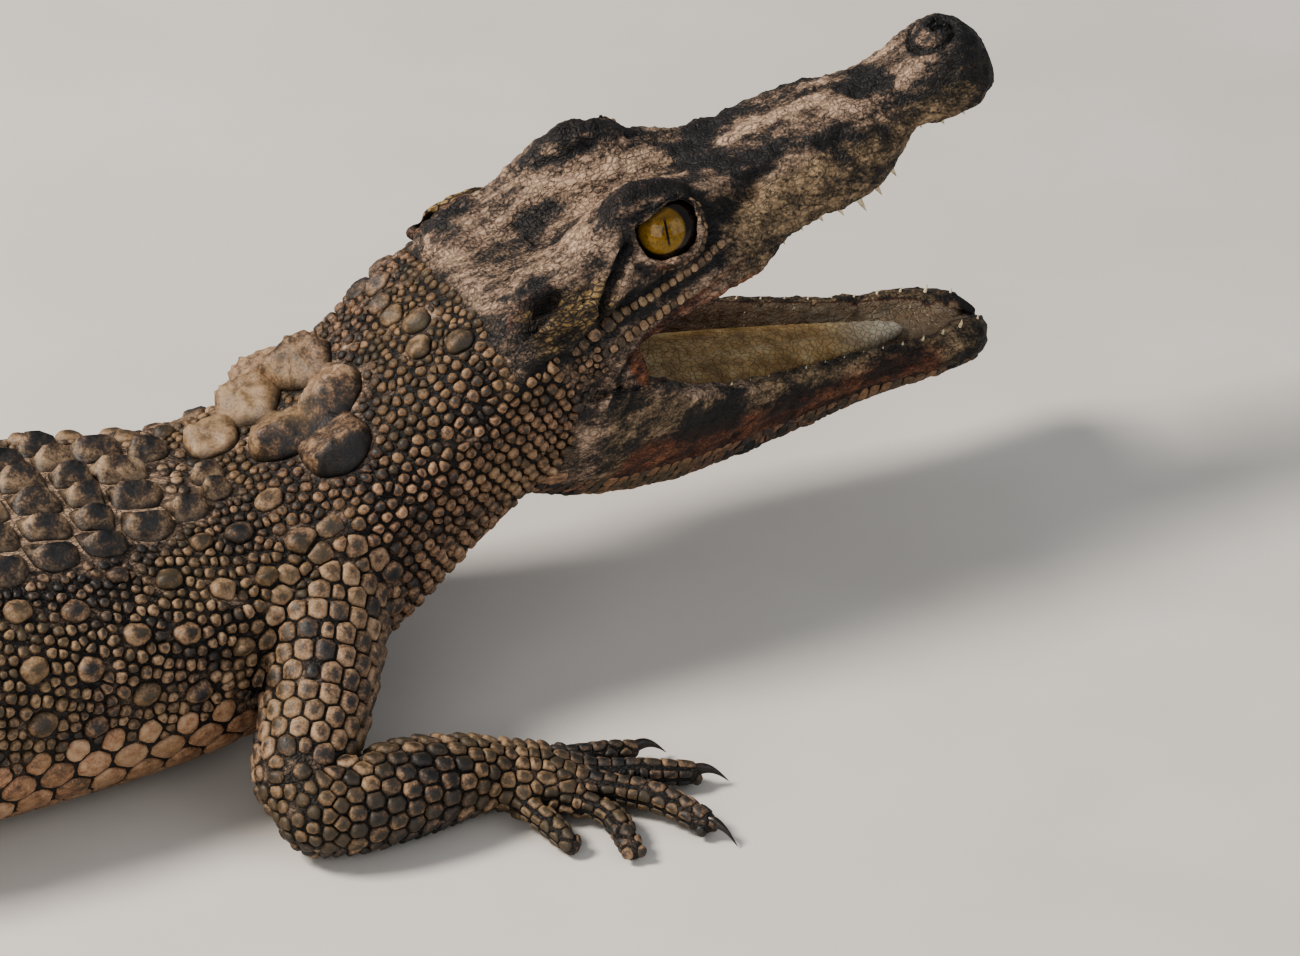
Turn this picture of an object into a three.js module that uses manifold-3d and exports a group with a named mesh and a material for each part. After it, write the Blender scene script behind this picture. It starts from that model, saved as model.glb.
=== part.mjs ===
// A young Nile crocodile one metre long, at rest on its belly with its head up and its mouth open.
// Millimetres. +X runs forward along the trunk, +Y to the animal's left, +Z up. The origin is on the
// floor, under the middle of the trunk, in the flat of the belly.
import * as THREE from 'three';
import { mergeVertices } from 'three/addons/utils/BufferGeometryUtils.js';
import Module from 'manifold-3d';

const wasm = await Module();
wasm.setup();

const seam = 0.35; // clearance left wherever two parts meet
const weld = 1e-4; // corners nearer than this are one
const tension = 0.5; // of the smooth curves through the midline's and the limbs' points
const sharpest = 0.5; // a corner sharper than this cosine is moved no further than one as sharp as it
const degree = Math.PI / 180;

// ---------------------------------------------------------------- driving dimensions

const head = {
  at: [178.5, 5, 86.4], // back of the skull table
  heading: 5.3 * degree,
  pitch: 13.5 * degree,
  roll: 5.5 * degree,
  sides: [3, 3, 2, 1], // facets from crown to brow, brow to cheek, cheek to lip, lip to palate
  stations: [-22, -13, -3, 8, 18, 27, 35, 43, 51, 60, 71, 84, 96, 106, 113, 119, 125, 131, 137, 140.6,
    142.7],
  // each profile is [distance forward, value] in the head's own frame, y being half the width
  crown: [[-22, 4], [-10, 9], [0, 13], [16, 13.5], [30, 14.5], [44, 14], [56, 12.5], [84, 12],
    [98, 10.5], [110, 9], [121, 10.5], [131, 14], [138, 11.5], [143, 3]],
  browY: [[-22, 14], [-6, 19], [0, 20.5], [16, 19.5], [28, 17.5], [38, 16], [50, 15], [62, 12.5],
    [80, 11.5], [98, 10.5], [112, 8.5], [131, 8.5], [138, 6.5], [143, 1]],
  browZ: [[-22, 3], [-6, 11], [0, 13.5], [16, 15.5], [26, 21.5], [35, 26.5], [44, 24], [52, 17.5], [60, 12.5],
    [70, 9.5], [84, 9.5], [98, 8], [112, 6.5], [122, 8.5], [131, 11], [138, 8.5], [143, 1]],
  cheekY: [[-22, 26], [-10, 30], [0, 31.5], [16, 31], [34, 28.5], [48, 26], [60, 23.5], [72, 20.5],
    [84, 19.5], [96, 19.3], [106, 16.5], [116, 12.8], [122, 13.5], [131, 14.2], [139, 10.5], [143, 2]],
  cheekZ: [[-22, -8], [-6, -6], [10, -4], [30, -1.5], [48, -2], [62, -3], [80, -2], [112, -1.5],
    [131, 0], [143, -0.5]],
  lipY: [[-22, 24], [-10, 27.5], [0, 28.5], [16, 28], [34, 26], [48, 24], [60, 22], [72, 19], [84, 17.5],
    [96, 17], [106, 13.5], [116, 9.8], [122, 11], [131, 11.5], [139, 8], [143, 1]],
  lipZ: [[-22, -13], [-10, -12], [0, -10.5], [16, -8], [34, -6.5], [48, -8], [60, -10.5], [70, -8.5],
    [80, -7.5], [92, -9.5], [100, -9.5], [110, -6], [116, -3], [122, -5], [131, -4.8], [139, -3.4],
    [143, -1.5]],
  palateZ: [[-22, -9], [0, -6], [30, -3], [60, -2.5], [90, -2], [115, -1], [131, -2], [143, -1.2]],
};

const jaw = {
  at: [-12, 0, -16], // the jaw joint, in the head's frame
  gape: 24 * degree,
  sides: [1, 1, 1, 1, 1, 2, 2], // facets between the eight points of half a section
  stations: [-18, -8, 3, 16, 32, 50, 68, 88, 108, 124, 138, 147, 152, 155.3],
  outerY: [[-18, 20], [-8, 27], [0, 30.5], [20, 31.5], [40, 29.5], [60, 26], [80, 21.5], [100, 17.5],
    [120, 14.5], [145, 13], [152, 9.5], [156, 1.5]],
  rimZ: [[-18, 2], [0, 4], [15, 8], [30, 10.3], [38, 10.2], [44, 8.4], [50, 6], [60, 3.8], [70, 2.2],
    [90, 0.6], [125, 0], [148, 1], [154, -0.5], [156, -3]],
  sideZ: [[-18, -7], [0, -8], [60, -8.5], [90, -7.5], [120, -6.5], [145, -5], [156, -5]],
  keelY: [[-18, 11], [0, 20], [30, 21], [60, 17], [90, 12], [120, 9.5], [145, 8], [152, 6], [156, 1]],
  keelZ: [[-18, -11], [0, -18], [30, -24.5], [60, -26.5], [80, -25], [100, -21], [120, -16],
    [145, -11.5], [156, -7]],
  chinZ: [[-18, -12], [0, -22], [30, -30], [60, -33], [80, -30], [100, -25], [120, -18.5],
    [145, -12.5], [156, -8]],
  innerY: [[-18, 14], [0, 23], [20, 25], [40, 23.5], [60, 20.5], [80, 16.5], [100, 12.5], [118, 9.5],
    [135, 7], [146, 2.5], [156, 0.5]],
  floorZ: [[-18, -6], [0, -8], [30, -9], [60, -8], [90, -6.5], [118, -5], [135, -2.5], [146, 0],
    [156, -3]],
  floorShare: 0.7, // how much of the inner width the flat floor of the mouth takes
  // how far the section's corners stand off the profiles: floor, rim's inside, crest and outside, cheek
  ease: { floor: 0.6, inside: 1, crest: 0.6, outside: 1.5, cheek: 0.3 },
};

const throat = {
  // the soft wall that closes the mouth between the jaws: forward, half width, top, bottom
  rows: [[-20, 26, -5, -22], [0, 28, -4, -24], [14, 28.8, -3.5, -30], [22, 28.4, -4, -33],
    [27, 27, -6, -33]],
  sides: 12,
  square: 3.6,
};

const eye = {
  at: [42.2, 16.2, 10.9],
  radius: 9.4,
  lidRadius: 11.2,
  reach: 14.4, // how far out the gap between the lids is cut
  opening: [7.4, 6], // fore and aft, up and down
  gaze: [0, 0.8, 0.6],
  facets: [8, 6],
};
const ear = { at: [7.5, 25.6, 6.6], size: [12, 2.6, 5.6], lean: 25 * degree, facets: [8, 5] };
const tongue = {
  from: 34,
  to: 132,
  widest: 16.5,
  share: 0.78, // of the width between the jaw's rims
  thick: 4.7,
  foot: [0.9, 1.5], // how wide its underside is, and how deep it goes into the floor of the mouth
  tip: { narrowed: 0.8, late: 5 }, // how much narrower its tip is, and how late the narrowing comes
  dome: 0.6, // flatness of its upper side
  sides: 6,
  stations: 5,
};
const teeth = {
  upper: { from: 60, to: 140, count: 9, length: [2.4, 4.2], spread: 0.35, radius: 1.15, inset: 1.1 },
  lower: { from: 66, to: 150, count: 9, length: [1.3, 3], spread: 0.1, radius: 1 },
  gum: [0.4, 0.2], // how far the upper and lower gum lines stand off the profiles of lip and rim
  sunk: 1.6,
  sides: 3,
  biggestUpper: 98, // where along the jaw the teeth stand tallest
  biggestLower: 143,
  tallStretch: 14, // how far along the jaw the tall teeth spread
  everySecond: 0.75, // length of every second tooth, as a share of its neighbours
  forward: 0.12, // how much they lean towards the snout's tip
};

// the body's midline from the throat back to the hips, then the tail as one long sweep
const spine = [[196, 6.5, 90], [178, 5, 82], [162, 3.4, 70], [146, 2, 57], [128, 0.6, 45.5],
  [108, 0, 37], [84, 0, 34], [50, 0, 34.5], [10, 0, 35], [-40, 0, 34.5], [-85, 0, 32],
  [-118, 0, 28.5]];
const tail = { root: [-148, -1], length: 520, links: 8, sweep: 78 * degree, bow: 3 * degree };
const midlineStep = 30; // usual distance between the midline's points
// one row for each point of the midline: half width, height above it, depth below it
const girth = [[28, 15, 27], [33, 19, 33], [33.5, 20, 34], [34.5, 21, 32], [38.5, 24, 31.5],
  [43, 27.5, 33], [48.5, 31, 33.5], [53.5, 35, 34.5], [56, 36.5, 35], [53.5, 35.5, 34.5],
  [46, 33, 32], [38, 30, 28.5], [30, 26.5, 25.2], [24.5, 23, 21], [19.5, 20, 17], [15.5, 17.5, 13.8],
  [12.3, 15.5, 11.2], [9.6, 13, 9], [7, 10.5, 7], [4.4, 7.4, 4.8], [1.4, 2.8, 2.6]];
const section = { top: 2.35, bottom: 2.6 }; // squareness of the body's back and belly
// how far the soft underside is pressed flat by the floor: midline point, amount
const pressed = [[4, 0], [6.5, 1.5], [12, 1.5], [20, 0.8]];
// first and last point of the midline, number of stations, facets round, share of a facet turned
const lengths = {
  neck: [0, 4.2, 7, 20, 0],
  trunk: [4.2, 11.6, 11, 20, 0],
  tail_base: [11.6, 14.5, 5, 12, 0.5],
  tail_middle: [14.5, 17.3, 5, 10, 0.5],
  tail_tip: [17.3, 20, 5, 8, 0.5],
};
const crest = {
  whorls: 36, // scute rings along the tail, a raised crest on each
  from: 12.3,
  to: 19.7,
  joined: 15.9, // where the two crests run into one
  height: [2.5, 8.5, 3.5], // at the root, where they join, at the tip
  thick: [2.6, 0.9], // at the foot and along the top
  apart: 0.62, // each crest of the pair stands this share of the half width from the midline
  filled: 0.86, // how much of its ring each scute takes along the tail
  lean: [0.64, 0.19], // how far the top's front and back lean back, as shares of the scute's length
  rooted: [0.9, 2], // its foot starts at this share of the tail's height there, less this depth
};

// legs, right side, as rows of [x, y, z, half width, half height]
const foreLeg = {
  upper_arm: [[124, -22, 38, 18, 20], [119, -36, 33, 16, 18.5], [111, -52, 25, 13.5, 15],
    [101.5, -66, 16, 12, 13]],
  forearm: [[103, -74.5, 12.2, 11.5, 12], [112, -76, 12, 11.5, 11.8], [124, -75, 12, 12, 12],
    [138, -73.5, 10.5, 10.5, 10.2], [147, -72.8, 9, 9, 8.6]],
  hand: [[146, -72.8, 8.6, 8.6, 8.4], [154, -75.3, 6.9, 11, 8], [162, -77.6, 6.1, 11, 6.8],
    [168, -78.5, 5.4, 8.5, 5]],
  digits: [
    { path: [[164, -71, 7], [175.8, -71.4, 5.6], [182.7, -71.2, 4.4]], radius: 3.3, claw: true },
    { path: [[163, -76, 7], [180.4, -82.4, 5.6], [191.7, -85.3, 4.2]], radius: 3.9, claw: true },
    { path: [[160, -79, 7], [178.9, -91.7, 5.2], [186.8, -104.6, 3.9]], radius: 4.1, claw: true },
    { path: [[156, -82, 6.5], [167.3, -92.8, 4.4], [167.6, -107, 2.9]], radius: 3.5 },
    { path: [[149, -80, 6.5], [153.5, -92.6, 4.2], [155.2, -99.5, 2.9]], radius: 3.3 },
  ],
};
const hindLeg = {
  thigh: [[-112, -20, 29, 22, 24], [-99, -40, 26.5, 19, 21.5], [-84, -58, 22.5, 16, 17.5],
    [-74, -69, 18.5, 13, 14]],
  shank: [[-74, -74, 15.5, 12, 13], [-86, -82, 13.8, 13, 13.4], [-103, -92, 11.2, 10.5, 10.8],
    [-118, -99.5, 8.8, 8.6, 8.6]],
  foot: [[-119, -102.5, 7.4, 8, 7.8], [-108, -107, 6, 9.5, 6.8], [-94, -111, 5.1, 12, 5.8],
    [-82, -114, 4.1, 12, 4.6]],
  digits: [
    { path: [[-92, -105, 5], [-76, -102.5, 4.2], [-64, -99, 3.4]], radius: 3.5, claw: true },
    { path: [[-90, -109, 5], [-66, -111, 4.4], [-50, -110, 3.6]], radius: 3.8, claw: true },
    { path: [[-90, -114, 5], [-66, -121, 4.4], [-50, -125, 3.6]], radius: 3.7, claw: true },
    { path: [[-92, -118, 5], [-74, -130, 4], [-62, -138, 3]], radius: 3.2 },
  ],
};
const limb = {
  sides: 8,
  turned: 0.5,
  digitSides: 5,
  capSteps: 1, // rings in the dome that closes each end
  capFlat: 0.5, // flat middle of that dome, in rings
  taper: [1, 0.96, 0.81],
};
const claw = {
  length: 9.5,
  radius: 1.9,
  tip: 0.35,
  droop: 3.1,
  rise: 1.3,
  slender: 0.8, // width as a share of depth
  thinning: 1.3, // how evenly it thins towards the tip
  clear: 0.1, // least height of its underside over the floor
  sides: 4,
  steps: 4,
};

const finishes = {
  skin_dark: { color: '#4b4238', roughness: 0.62 },
  skin_flank: { color: '#4a3d32', roughness: 0.62 },
  skin_pale: { color: '#6d5543', roughness: 0.6 },
  tongue_flesh: { color: '#8b6f4a', roughness: 0.45 },
  eye_gloss: { color: '#6d5217', roughness: 0.08 },
  claw_horn: { color: '#1e1914', roughness: 0.4 },
};

// ---------------------------------------------------------------- curves

// smooth value of a profile of [position, value, ...] rows, with no overshoot between rows
function along(profile, at, column = 1) {
  const x = profile.map((row) => row[0]);
  const y = profile.map((row) => row[column]);
  const last = x.length - 1;
  if (at <= x[0]) return y[0];
  if (at >= x[last]) return y[last];
  const slope = (i) => (y[i + 1] - y[i]) / (x[i + 1] - x[i]);
  const tangent = (i) => {
    if (i === 0) return slope(0);
    if (i === last) return slope(last - 1);
    const before = slope(i - 1);
    const after = slope(i);
    if (before * after <= 0) return 0;
    const w1 = 2 * (x[i + 1] - x[i]) + (x[i] - x[i - 1]);
    const w2 = (x[i + 1] - x[i]) + 2 * (x[i] - x[i - 1]);
    return (w1 + w2) / (w1 / before + w2 / after);
  };
  const i = x.findIndex((value) => value > at) - 1;
  const step = x[i + 1] - x[i];
  const s = (at - x[i]) / step;
  return (2 * s ** 3 - 3 * s ** 2 + 1) * y[i] + (s ** 3 - 2 * s ** 2 + s) * step * tangent(i)
    + (3 * s ** 2 - 2 * s ** 3) * y[i + 1] + (s ** 3 - s ** 2) * step * tangent(i + 1);
}

// half a section, from the midline above to the midline below, rounded through its [y, z] corners
function halfSection(corners, facets) {
  const mirrored = (point) => [-point[0], point[1]];
  const points = [mirrored(corners[1]), ...corners, mirrored(corners[corners.length - 2])];
  const half = [];
  facets.forEach((count, span) => {
    for (let k = 0; k < count; k += 1) {
      const t = k / count;
      const blend = (axis) => {
        const [a, b, c, d] = points.slice(span, span + 4).map((point) => point[axis]);
        return 0.5 * (2 * b + (c - a) * t + (2 * a - 5 * b + 4 * c - d) * t * t
          + (3 * b - a - 3 * c + d) * t ** 3);
      };
      half.push([blend(0), blend(1)]);
    }
  });
  half.push(corners[corners.length - 1]);
  return half;
}

// the whole section: that half on the left, then its mirror image back up the right
function wholeSection(half) {
  return [...half, ...half.slice(1, -1).reverse().map(([y, z]) => [-y, z])];
}

const signedPower = (value, power) => Math.sign(value) * Math.abs(value) ** power;

// a rounded box shape: [y, z] at an angle from the top
function roundedBox(angle, halfWidth, up, down, squareTop, squareBottom) {
  const above = Math.cos(angle) >= 0;
  const power = 2 / (above ? squareTop : squareBottom);
  return [halfWidth * signedPower(Math.sin(angle), power),
    (above ? up : down) * signedPower(Math.cos(angle), power)];
}

const turns = (count, turned = 0) =>
  Array.from({ length: count }, (_, i) => (2 * Math.PI * (i + turned)) / count);
const steps = (from, to, count) =>
  Array.from({ length: count }, (_, i) => from + ((to - from) * i) / (count - 1));

// ---------------------------------------------------------------- solids

function toSolid(positions, triangles) {
  const geometry = new THREE.BufferGeometry();
  geometry.setAttribute('position', new THREE.Float32BufferAttribute(positions, 3));
  geometry.setIndex(triangles);
  const merged = mergeVertices(geometry, weld);
  const vertProperties = new Float32Array(merged.getAttribute('position').array);
  const triVerts = new Uint32Array(merged.getIndex().array);
  return new wasm.Manifold(new wasm.Mesh({ numProp: 3, vertProperties, triVerts }));
}

// a closed skin over rings of points, each ring having its outline in its own plane for the end caps
function loft(rings) {
  const count = rings[0].points.length;
  const positions = rings.flatMap((ring) => ring.points.flatMap((point) => point.toArray()));
  const triangles = [];
  for (let r = 0; r + 1 < rings.length; r += 1) {
    for (let i = 0; i < count; i += 1) {
      const j = (i + 1) % count;
      const [a, b, c, d] = [r * count + i, r * count + j, (r + 1) * count + i, (r + 1) * count + j];
      triangles.push(a, b, d, a, d, c);
    }
  }
  const cap = (ring, base, follows) => {
    const outline = ring.outline.map(([y, z]) => new THREE.Vector2(y, z));
    const turn = Math.sign(THREE.ShapeUtils.area(outline));
    THREE.ShapeUtils.triangulateShape(outline, []).forEach(([a, b, c]) => {
      const same = Math.sign(THREE.ShapeUtils.area([outline[a], outline[b], outline[c]])) === turn;
      const face = same === follows ? [a, b, c] : [a, c, b];
      triangles.push(...face.map((index) => base + index));
    });
  };
  cap(rings[0], 0, false);
  cap(rings[rings.length - 1], (rings.length - 1) * count, true);
  return toSolid(positions, windingOut(positions, triangles));
}

// turns every triangle over where the surface encloses a negative volume
function windingOut(positions, triangles) {
  const point = (index) => new THREE.Vector3().fromArray(positions, index * 3);
  let volume = 0;
  for (let i = 0; i < triangles.length; i += 3) {
    const [a, b, c] = [point(triangles[i]), point(triangles[i + 1]), point(triangles[i + 2])];
    volume += a.dot(b.cross(c));
  }
  if (volume > 0) return triangles;
  return triangles.map((_, i) => triangles[i - (i % 3) + [0, 2, 1][i % 3]]);
}

function geometryOf(solid) {
  const mesh = solid.getMesh();
  const geometry = new THREE.BufferGeometry();
  geometry.setAttribute('position', new THREE.Float32BufferAttribute(mesh.vertProperties, 3));
  geometry.setIndex(Array.from(mesh.triVerts));
  return mergeVertices(geometry, weld);
}

// the same solid with each corner moved out until every face round it has moved by the clearance
function swollen(solid, by = seam) {
  const geometry = geometryOf(solid);
  const index = Array.from(geometry.getIndex().array);
  const position = geometry.getAttribute('position');
  const point = (i) => new THREE.Vector3().fromBufferAttribute(position, i);
  const facesRound = Array.from({ length: position.count }, () => []);
  for (let i = 0; i < index.length; i += 3) {
    const [a, b, c] = index.slice(i, i + 3);
    const normal = new THREE.Triangle(point(a), point(b), point(c)).getNormal(new THREE.Vector3());
    [a, b, c].forEach((corner) => facesRound[corner].push(normal));
  }
  const corners = facesRound.flatMap((normals, i) => {
    const outward = normals.reduce((sum, normal) => sum.add(normal), new THREE.Vector3()).normalize();
    const steepest = Math.min(...normals.map((normal) => normal.dot(outward)));
    return point(i).addScaledVector(outward, by / Math.max(steepest, sharpest)).toArray();
  });
  return toSolid(corners, index);
}

const joined = (solids) => solids.reduce((sum, solid) => sum.add(solid));
const cutBy = (solid, others) => others.reduce((rest, other) => rest.subtract(swollen(other)), solid);
const biggest = (solid) => solid.decompose().sort((a, b) => b.volume() - a.volume())[0];

function fromGeometry(geometry) {
  const plain = geometry.clone();
  plain.deleteAttribute('normal');
  plain.deleteAttribute('uv');
  const merged = mergeVertices(plain, weld);
  return toSolid(Array.from(merged.getAttribute('position').array), Array.from(merged.getIndex().array));
}

const moved = (solids, matrix) => solids.map((solid) => solid.transform(matrix.elements));

// ---------------------------------------------------------------- frames

const headFrame = new THREE.Matrix4().makeTranslation(...head.at)
  .multiply(new THREE.Matrix4().makeRotationZ(head.heading))
  .multiply(new THREE.Matrix4().makeRotationY(-head.pitch))
  .multiply(new THREE.Matrix4().makeRotationX(head.roll));
const jawFrame = new THREE.Matrix4().makeTranslation(...jaw.at)
  .multiply(new THREE.Matrix4().makeRotationY(jaw.gape));

// the tail's midline goes on from the hips, its underside on the floor, bowing out and then sweeping in
function tailPoints() {
  const points = [];
  let [x, y] = tail.root;
  const step = tail.length / tail.links;
  for (let i = 0; i <= tail.links; i += 1) {
    points.push([x, y, girth[spine.length + i][2]]);
    const share = (i + 0.5) / tail.links;
    const heading = Math.PI - tail.bow + (tail.sweep * (1 - Math.cos(Math.PI * share))) / 2;
    x += step * Math.cos(heading);
    y -= step * Math.abs(Math.sin(heading));
  }
  return points;
}

const midline = [...spine, ...tailPoints()];
const midCurve = new THREE.CatmullRomCurve3(
  midline.map((point) => new THREE.Vector3(...point)), false, 'catmullrom', tension);
const girthRows = girth.map((row, i) => [i, ...row]);

function bodyFrame(at) {
  const share = at / (midline.length - 1);
  const forward = midCurve.getTangent(share).negate();
  const left = new THREE.Vector3(-forward.y, forward.x, 0).normalize();
  return { centre: midCurve.getPoint(share), forward, left, up: forward.clone().cross(left) };
}

function bodyRing(at, sides, turned) {
  const { centre, left, up } = bodyFrame(at);
  const [halfWidth, above, below] = [1, 2, 3].map((column) => along(girthRows, at, column));
  const deep = below + along(pressed, at);
  const outline = turns(sides, turned).map((angle) =>
    roundedBox(angle, halfWidth, above, deep, section.top, section.bottom));
  const points = outline.map(([y, z]) => {
    const point = centre.clone().addScaledVector(left, y).addScaledVector(up, z);
    point.z = Math.max(point.z, 0);
    return point;
  });
  return { outline, points };
}

// ---------------------------------------------------------------- parts

function bodyLength([from, to, stations, sides, turned]) {
  const gap = seam / 2 / midlineStep;
  return loft(steps(from + gap, to - gap, stations).map((at) => bodyRing(at, sides, turned)));
}

// one raised tail scute: a thin plate rooted in the tail whose tip leans back
function crestScute(at, side, scuteLength) {
  const { centre, forward, left, up } = bodyFrame(at);
  const share = Math.min(1, (at - crest.from) / (crest.joined - crest.from));
  const onwards = Math.max(0, (at - crest.joined) / (crest.to - crest.joined));
  const height = share < 1
    ? THREE.MathUtils.lerp(crest.height[0], crest.height[1], share)
    : THREE.MathUtils.lerp(crest.height[1], crest.height[2], onwards);
  const halfWidth = along(girthRows, at, 1);
  const above = along(girthRows, at, 2);
  const across = side * halfWidth * crest.apart * (1 - share ** 3);
  const slope = Math.asin(Math.abs(across) / halfWidth);
  const shoulder = roundedBox(slope, halfWidth, above, above, section.top, section.bottom)[1];
  const place = (ahead, y, z) => centre.clone().addScaledVector(forward, ahead)
    .addScaledVector(left, across + y).addScaledVector(up, z);
  const [foot, edge] = crest.thick;
  const ringAt = (z, front, back, width) => {
    const outline = [[front, 0], [back, width / 2], [back, -width / 2]];
    return { outline, points: outline.map(([ahead, y]) => place(ahead, y, z)) };
  };
  const [frontLean, backLean] = crest.lean.map((lean) => lean * scuteLength);
  const half = scuteLength / 2;
  return loft([
    ringAt(shoulder * crest.rooted[0] - crest.rooted[1], half, -half, Math.min(foot, halfWidth / 2)),
    ringAt(above + height, half - frontLean, -half - backLean, edge),
  ]);
}

function tailCrests([from, to]) {
  const spacing = (crest.to - crest.from) / crest.whorls;
  const scuteLength = (tail.length / tail.links) * spacing * crest.filled;
  const solids = [];
  for (let i = 0; i < crest.whorls; i += 1) {
    const at = crest.from + (i + 0.5) * spacing;
    const inside = at - spacing > from && at + spacing / 2 < to;
    const sides = at < crest.joined ? [1, -1] : [0];
    if (inside) solids.push(...sides.map((side) => crestScute(at, side, scuteLength)));
  }
  return solids;
}

function headSection(x) {
  const value = (name) => along(head[name], x);
  return wholeSection(halfSection([[0, value('crown')], [value('browY'), value('browZ')],
    [value('cheekY'), value('cheekZ')], [value('lipY'), value('lipZ')], [0, value('palateZ')]],
  head.sides));
}

function jawSection(x) {
  const value = (name) => along(jaw[name], x);
  const [outer, inner, rim, floor] = ['outerY', 'innerY', 'rimZ', 'floorZ'].map(value);
  const { ease } = jaw;
  return wholeSection(halfSection([[0, floor - ease.floor], [inner * jaw.floorShare, floor],
    [inner, rim - ease.inside], [(inner + outer) / 2, rim + ease.crest], [outer, rim - ease.outside],
    [outer + ease.cheek, value('sideZ')], [value('keelY'), value('keelZ')], [0, value('chinZ')]],
  jaw.sides));
}

const sectionRing = (x, outline) =>
  ({ outline, points: outline.map(([y, z]) => new THREE.Vector3(x, y, z)) });

// a small pointed tooth, its root sunk in the jaw
function tooth(at, direction, length, radius) {
  const cone = new THREE.ConeGeometry(radius, length + teeth.sunk, teeth.sides, 1);
  cone.translate(0, (length + teeth.sunk) / 2 - teeth.sunk, 0);
  cone.applyQuaternion(new THREE.Quaternion().setFromUnitVectors(new THREE.Vector3(0, 1, 0), direction));
  cone.translate(...at);
  return fromGeometry(cone);
}

function toothRow(row, tallestAt, down, edgeY, edgeZ) {
  const solids = [];
  for (const side of [1, -1]) {
    steps(row.from, row.to, row.count).forEach((x, i) => {
      const near = Math.exp(-(((x - tallestAt) / teeth.tallStretch) ** 2));
      const tallness = near * (i % 2 ? teeth.everySecond : 1);
      const length = THREE.MathUtils.lerp(row.length[0], row.length[1], tallness);
      const direction = new THREE.Vector3(teeth.forward, side * row.spread, down).normalize();
      solids.push(tooth([x, side * edgeY(x), edgeZ(x)], direction, length, row.radius));
    });
  }
  return solids;
}

const ball = (at, radius) => {
  const sphere = new THREE.SphereGeometry(radius, ...eye.facets);
  sphere.translate(...at);
  return fromGeometry(sphere);
};

const onSide = ([x, y, z], side) => [x, side * y, z];

// the gap between the lids: an oval tunnel along the line of sight
function lidOpening(side) {
  const sight = new THREE.Vector3(...onSide(eye.gaze, side)).normalize();
  const tunnel = new THREE.CylinderGeometry(1, 1, eye.reach, eye.facets[0]);
  tunnel.scale(eye.opening[0], 1, eye.opening[1]);
  tunnel.translate(0, eye.reach / 2, 0);
  tunnel.applyQuaternion(new THREE.Quaternion().setFromUnitVectors(new THREE.Vector3(0, 1, 0), sight));
  tunnel.translate(...onSide(eye.at, side));
  return fromGeometry(tunnel);
}

function earFlap(side) {
  const flap = new THREE.SphereGeometry(1, ...ear.facets);
  flap.scale(...ear.size);
  flap.rotateX(-side * ear.lean);
  flap.translate(...onSide(ear.at, side));
  return fromGeometry(flap);
}

// a rounded limb through rows of [x, y, z, half width, half height], closed by domed ends
function limbLoft(rows, sides, turned = 0) {
  const curve = new THREE.CatmullRomCurve3(
    rows.map(([x, y, z]) => new THREE.Vector3(x, y, z)), false, 'catmullrom', tension);
  const sizes = rows.map((row, i) => [i, row[3], row[4]]);
  const last = rows.length - 1;
  const ringAt = (share, ahead, scale) => {
    const forward = curve.getTangent(share);
    const left = new THREE.Vector3(-forward.y, forward.x, 0).normalize();
    const up = forward.clone().cross(left);
    const [wide, high] = [1, 2].map((column) => along(sizes, share * last, column) * scale);
    const centre = curve.getPoint(share).addScaledVector(forward, ahead);
    const outline = turns(sides, turned).map((angle) =>
      [wide * Math.sin(angle), high * Math.cos(angle)]);
    const points = outline.map(([y, z]) => {
      const point = centre.clone().addScaledVector(left, y).addScaledVector(up, z);
      point.z = Math.max(point.z, 0);
      return point;
    });
    return { outline, points };
  };
  const domed = (share, sign) => Array.from({ length: limb.capSteps }, (_, k) => {
    const angle = ((k + 1) / (limb.capSteps + limb.capFlat)) * (Math.PI / 2);
    const reach = Math.min(...[1, 2].map((column) => along(sizes, share * last, column)));
    return ringAt(share, sign * reach * Math.sin(angle), Math.cos(angle));
  });
  const middle = steps(0, 1, rows.length).map((share) => ringAt(share, 0, 1));
  return loft([...domed(0, -1).reverse(), ...middle, ...domed(1, 1)]);
}

function digitSolid({ path, radius }) {
  const rows = path.map((point, i) => [...point, radius * limb.taper[i], radius * limb.taper[i]]);
  return limbLoft(rows, limb.digitSides);
}

// a claw that leaves the end of a digit, arches over and comes down to its point
function clawSolid({ path }) {
  const from = new THREE.Vector3(...path[1]);
  const tip = new THREE.Vector3(...path[2]);
  const forward = tip.clone().sub(from).setZ(0).normalize();
  const point = (share) => {
    const drop = claw.rise * Math.sin(Math.PI * share) - claw.droop * share ** 2;
    return tip.clone().addScaledVector(forward, claw.length * share).add(new THREE.Vector3(0, 0, drop));
  };
  const rows = steps(0, 1, claw.steps).map((share) => {
    const radius = THREE.MathUtils.lerp(claw.radius, claw.tip, share ** claw.thinning);
    const centre = point(share);
    return [centre.x, centre.y, Math.max(centre.z, radius + claw.clear), radius * claw.slender, radius];
  });
  return limbLoft(rows, claw.sides);
}

const mirrored = (rows, side) => rows.map(([x, y, ...rest]) => [x, -side * y, ...rest]);

// ---------------------------------------------------------------- the animal

const crocodile = new THREE.Group();
const headGroup = new THREE.Group();
headFrame.decompose(headGroup.position, headGroup.quaternion, headGroup.scale);
const jawGroup = new THREE.Group();
jawFrame.decompose(jawGroup.position, jawGroup.quaternion, jawGroup.scale);
headGroup.add(jawGroup);
crocodile.add(headGroup);

function addPart(name, solid, finish, group = crocodile) {
  const { color, roughness } = finishes[finish];
  const material = new THREE.MeshStandardMaterial({ color, roughness, metalness: 0 });
  const mesh = new THREE.Mesh(geometryOf(solid), material);
  mesh.name = name;
  group.add(mesh);
}

const sideName = (side) => (side > 0 ? 'left' : 'right');

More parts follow.
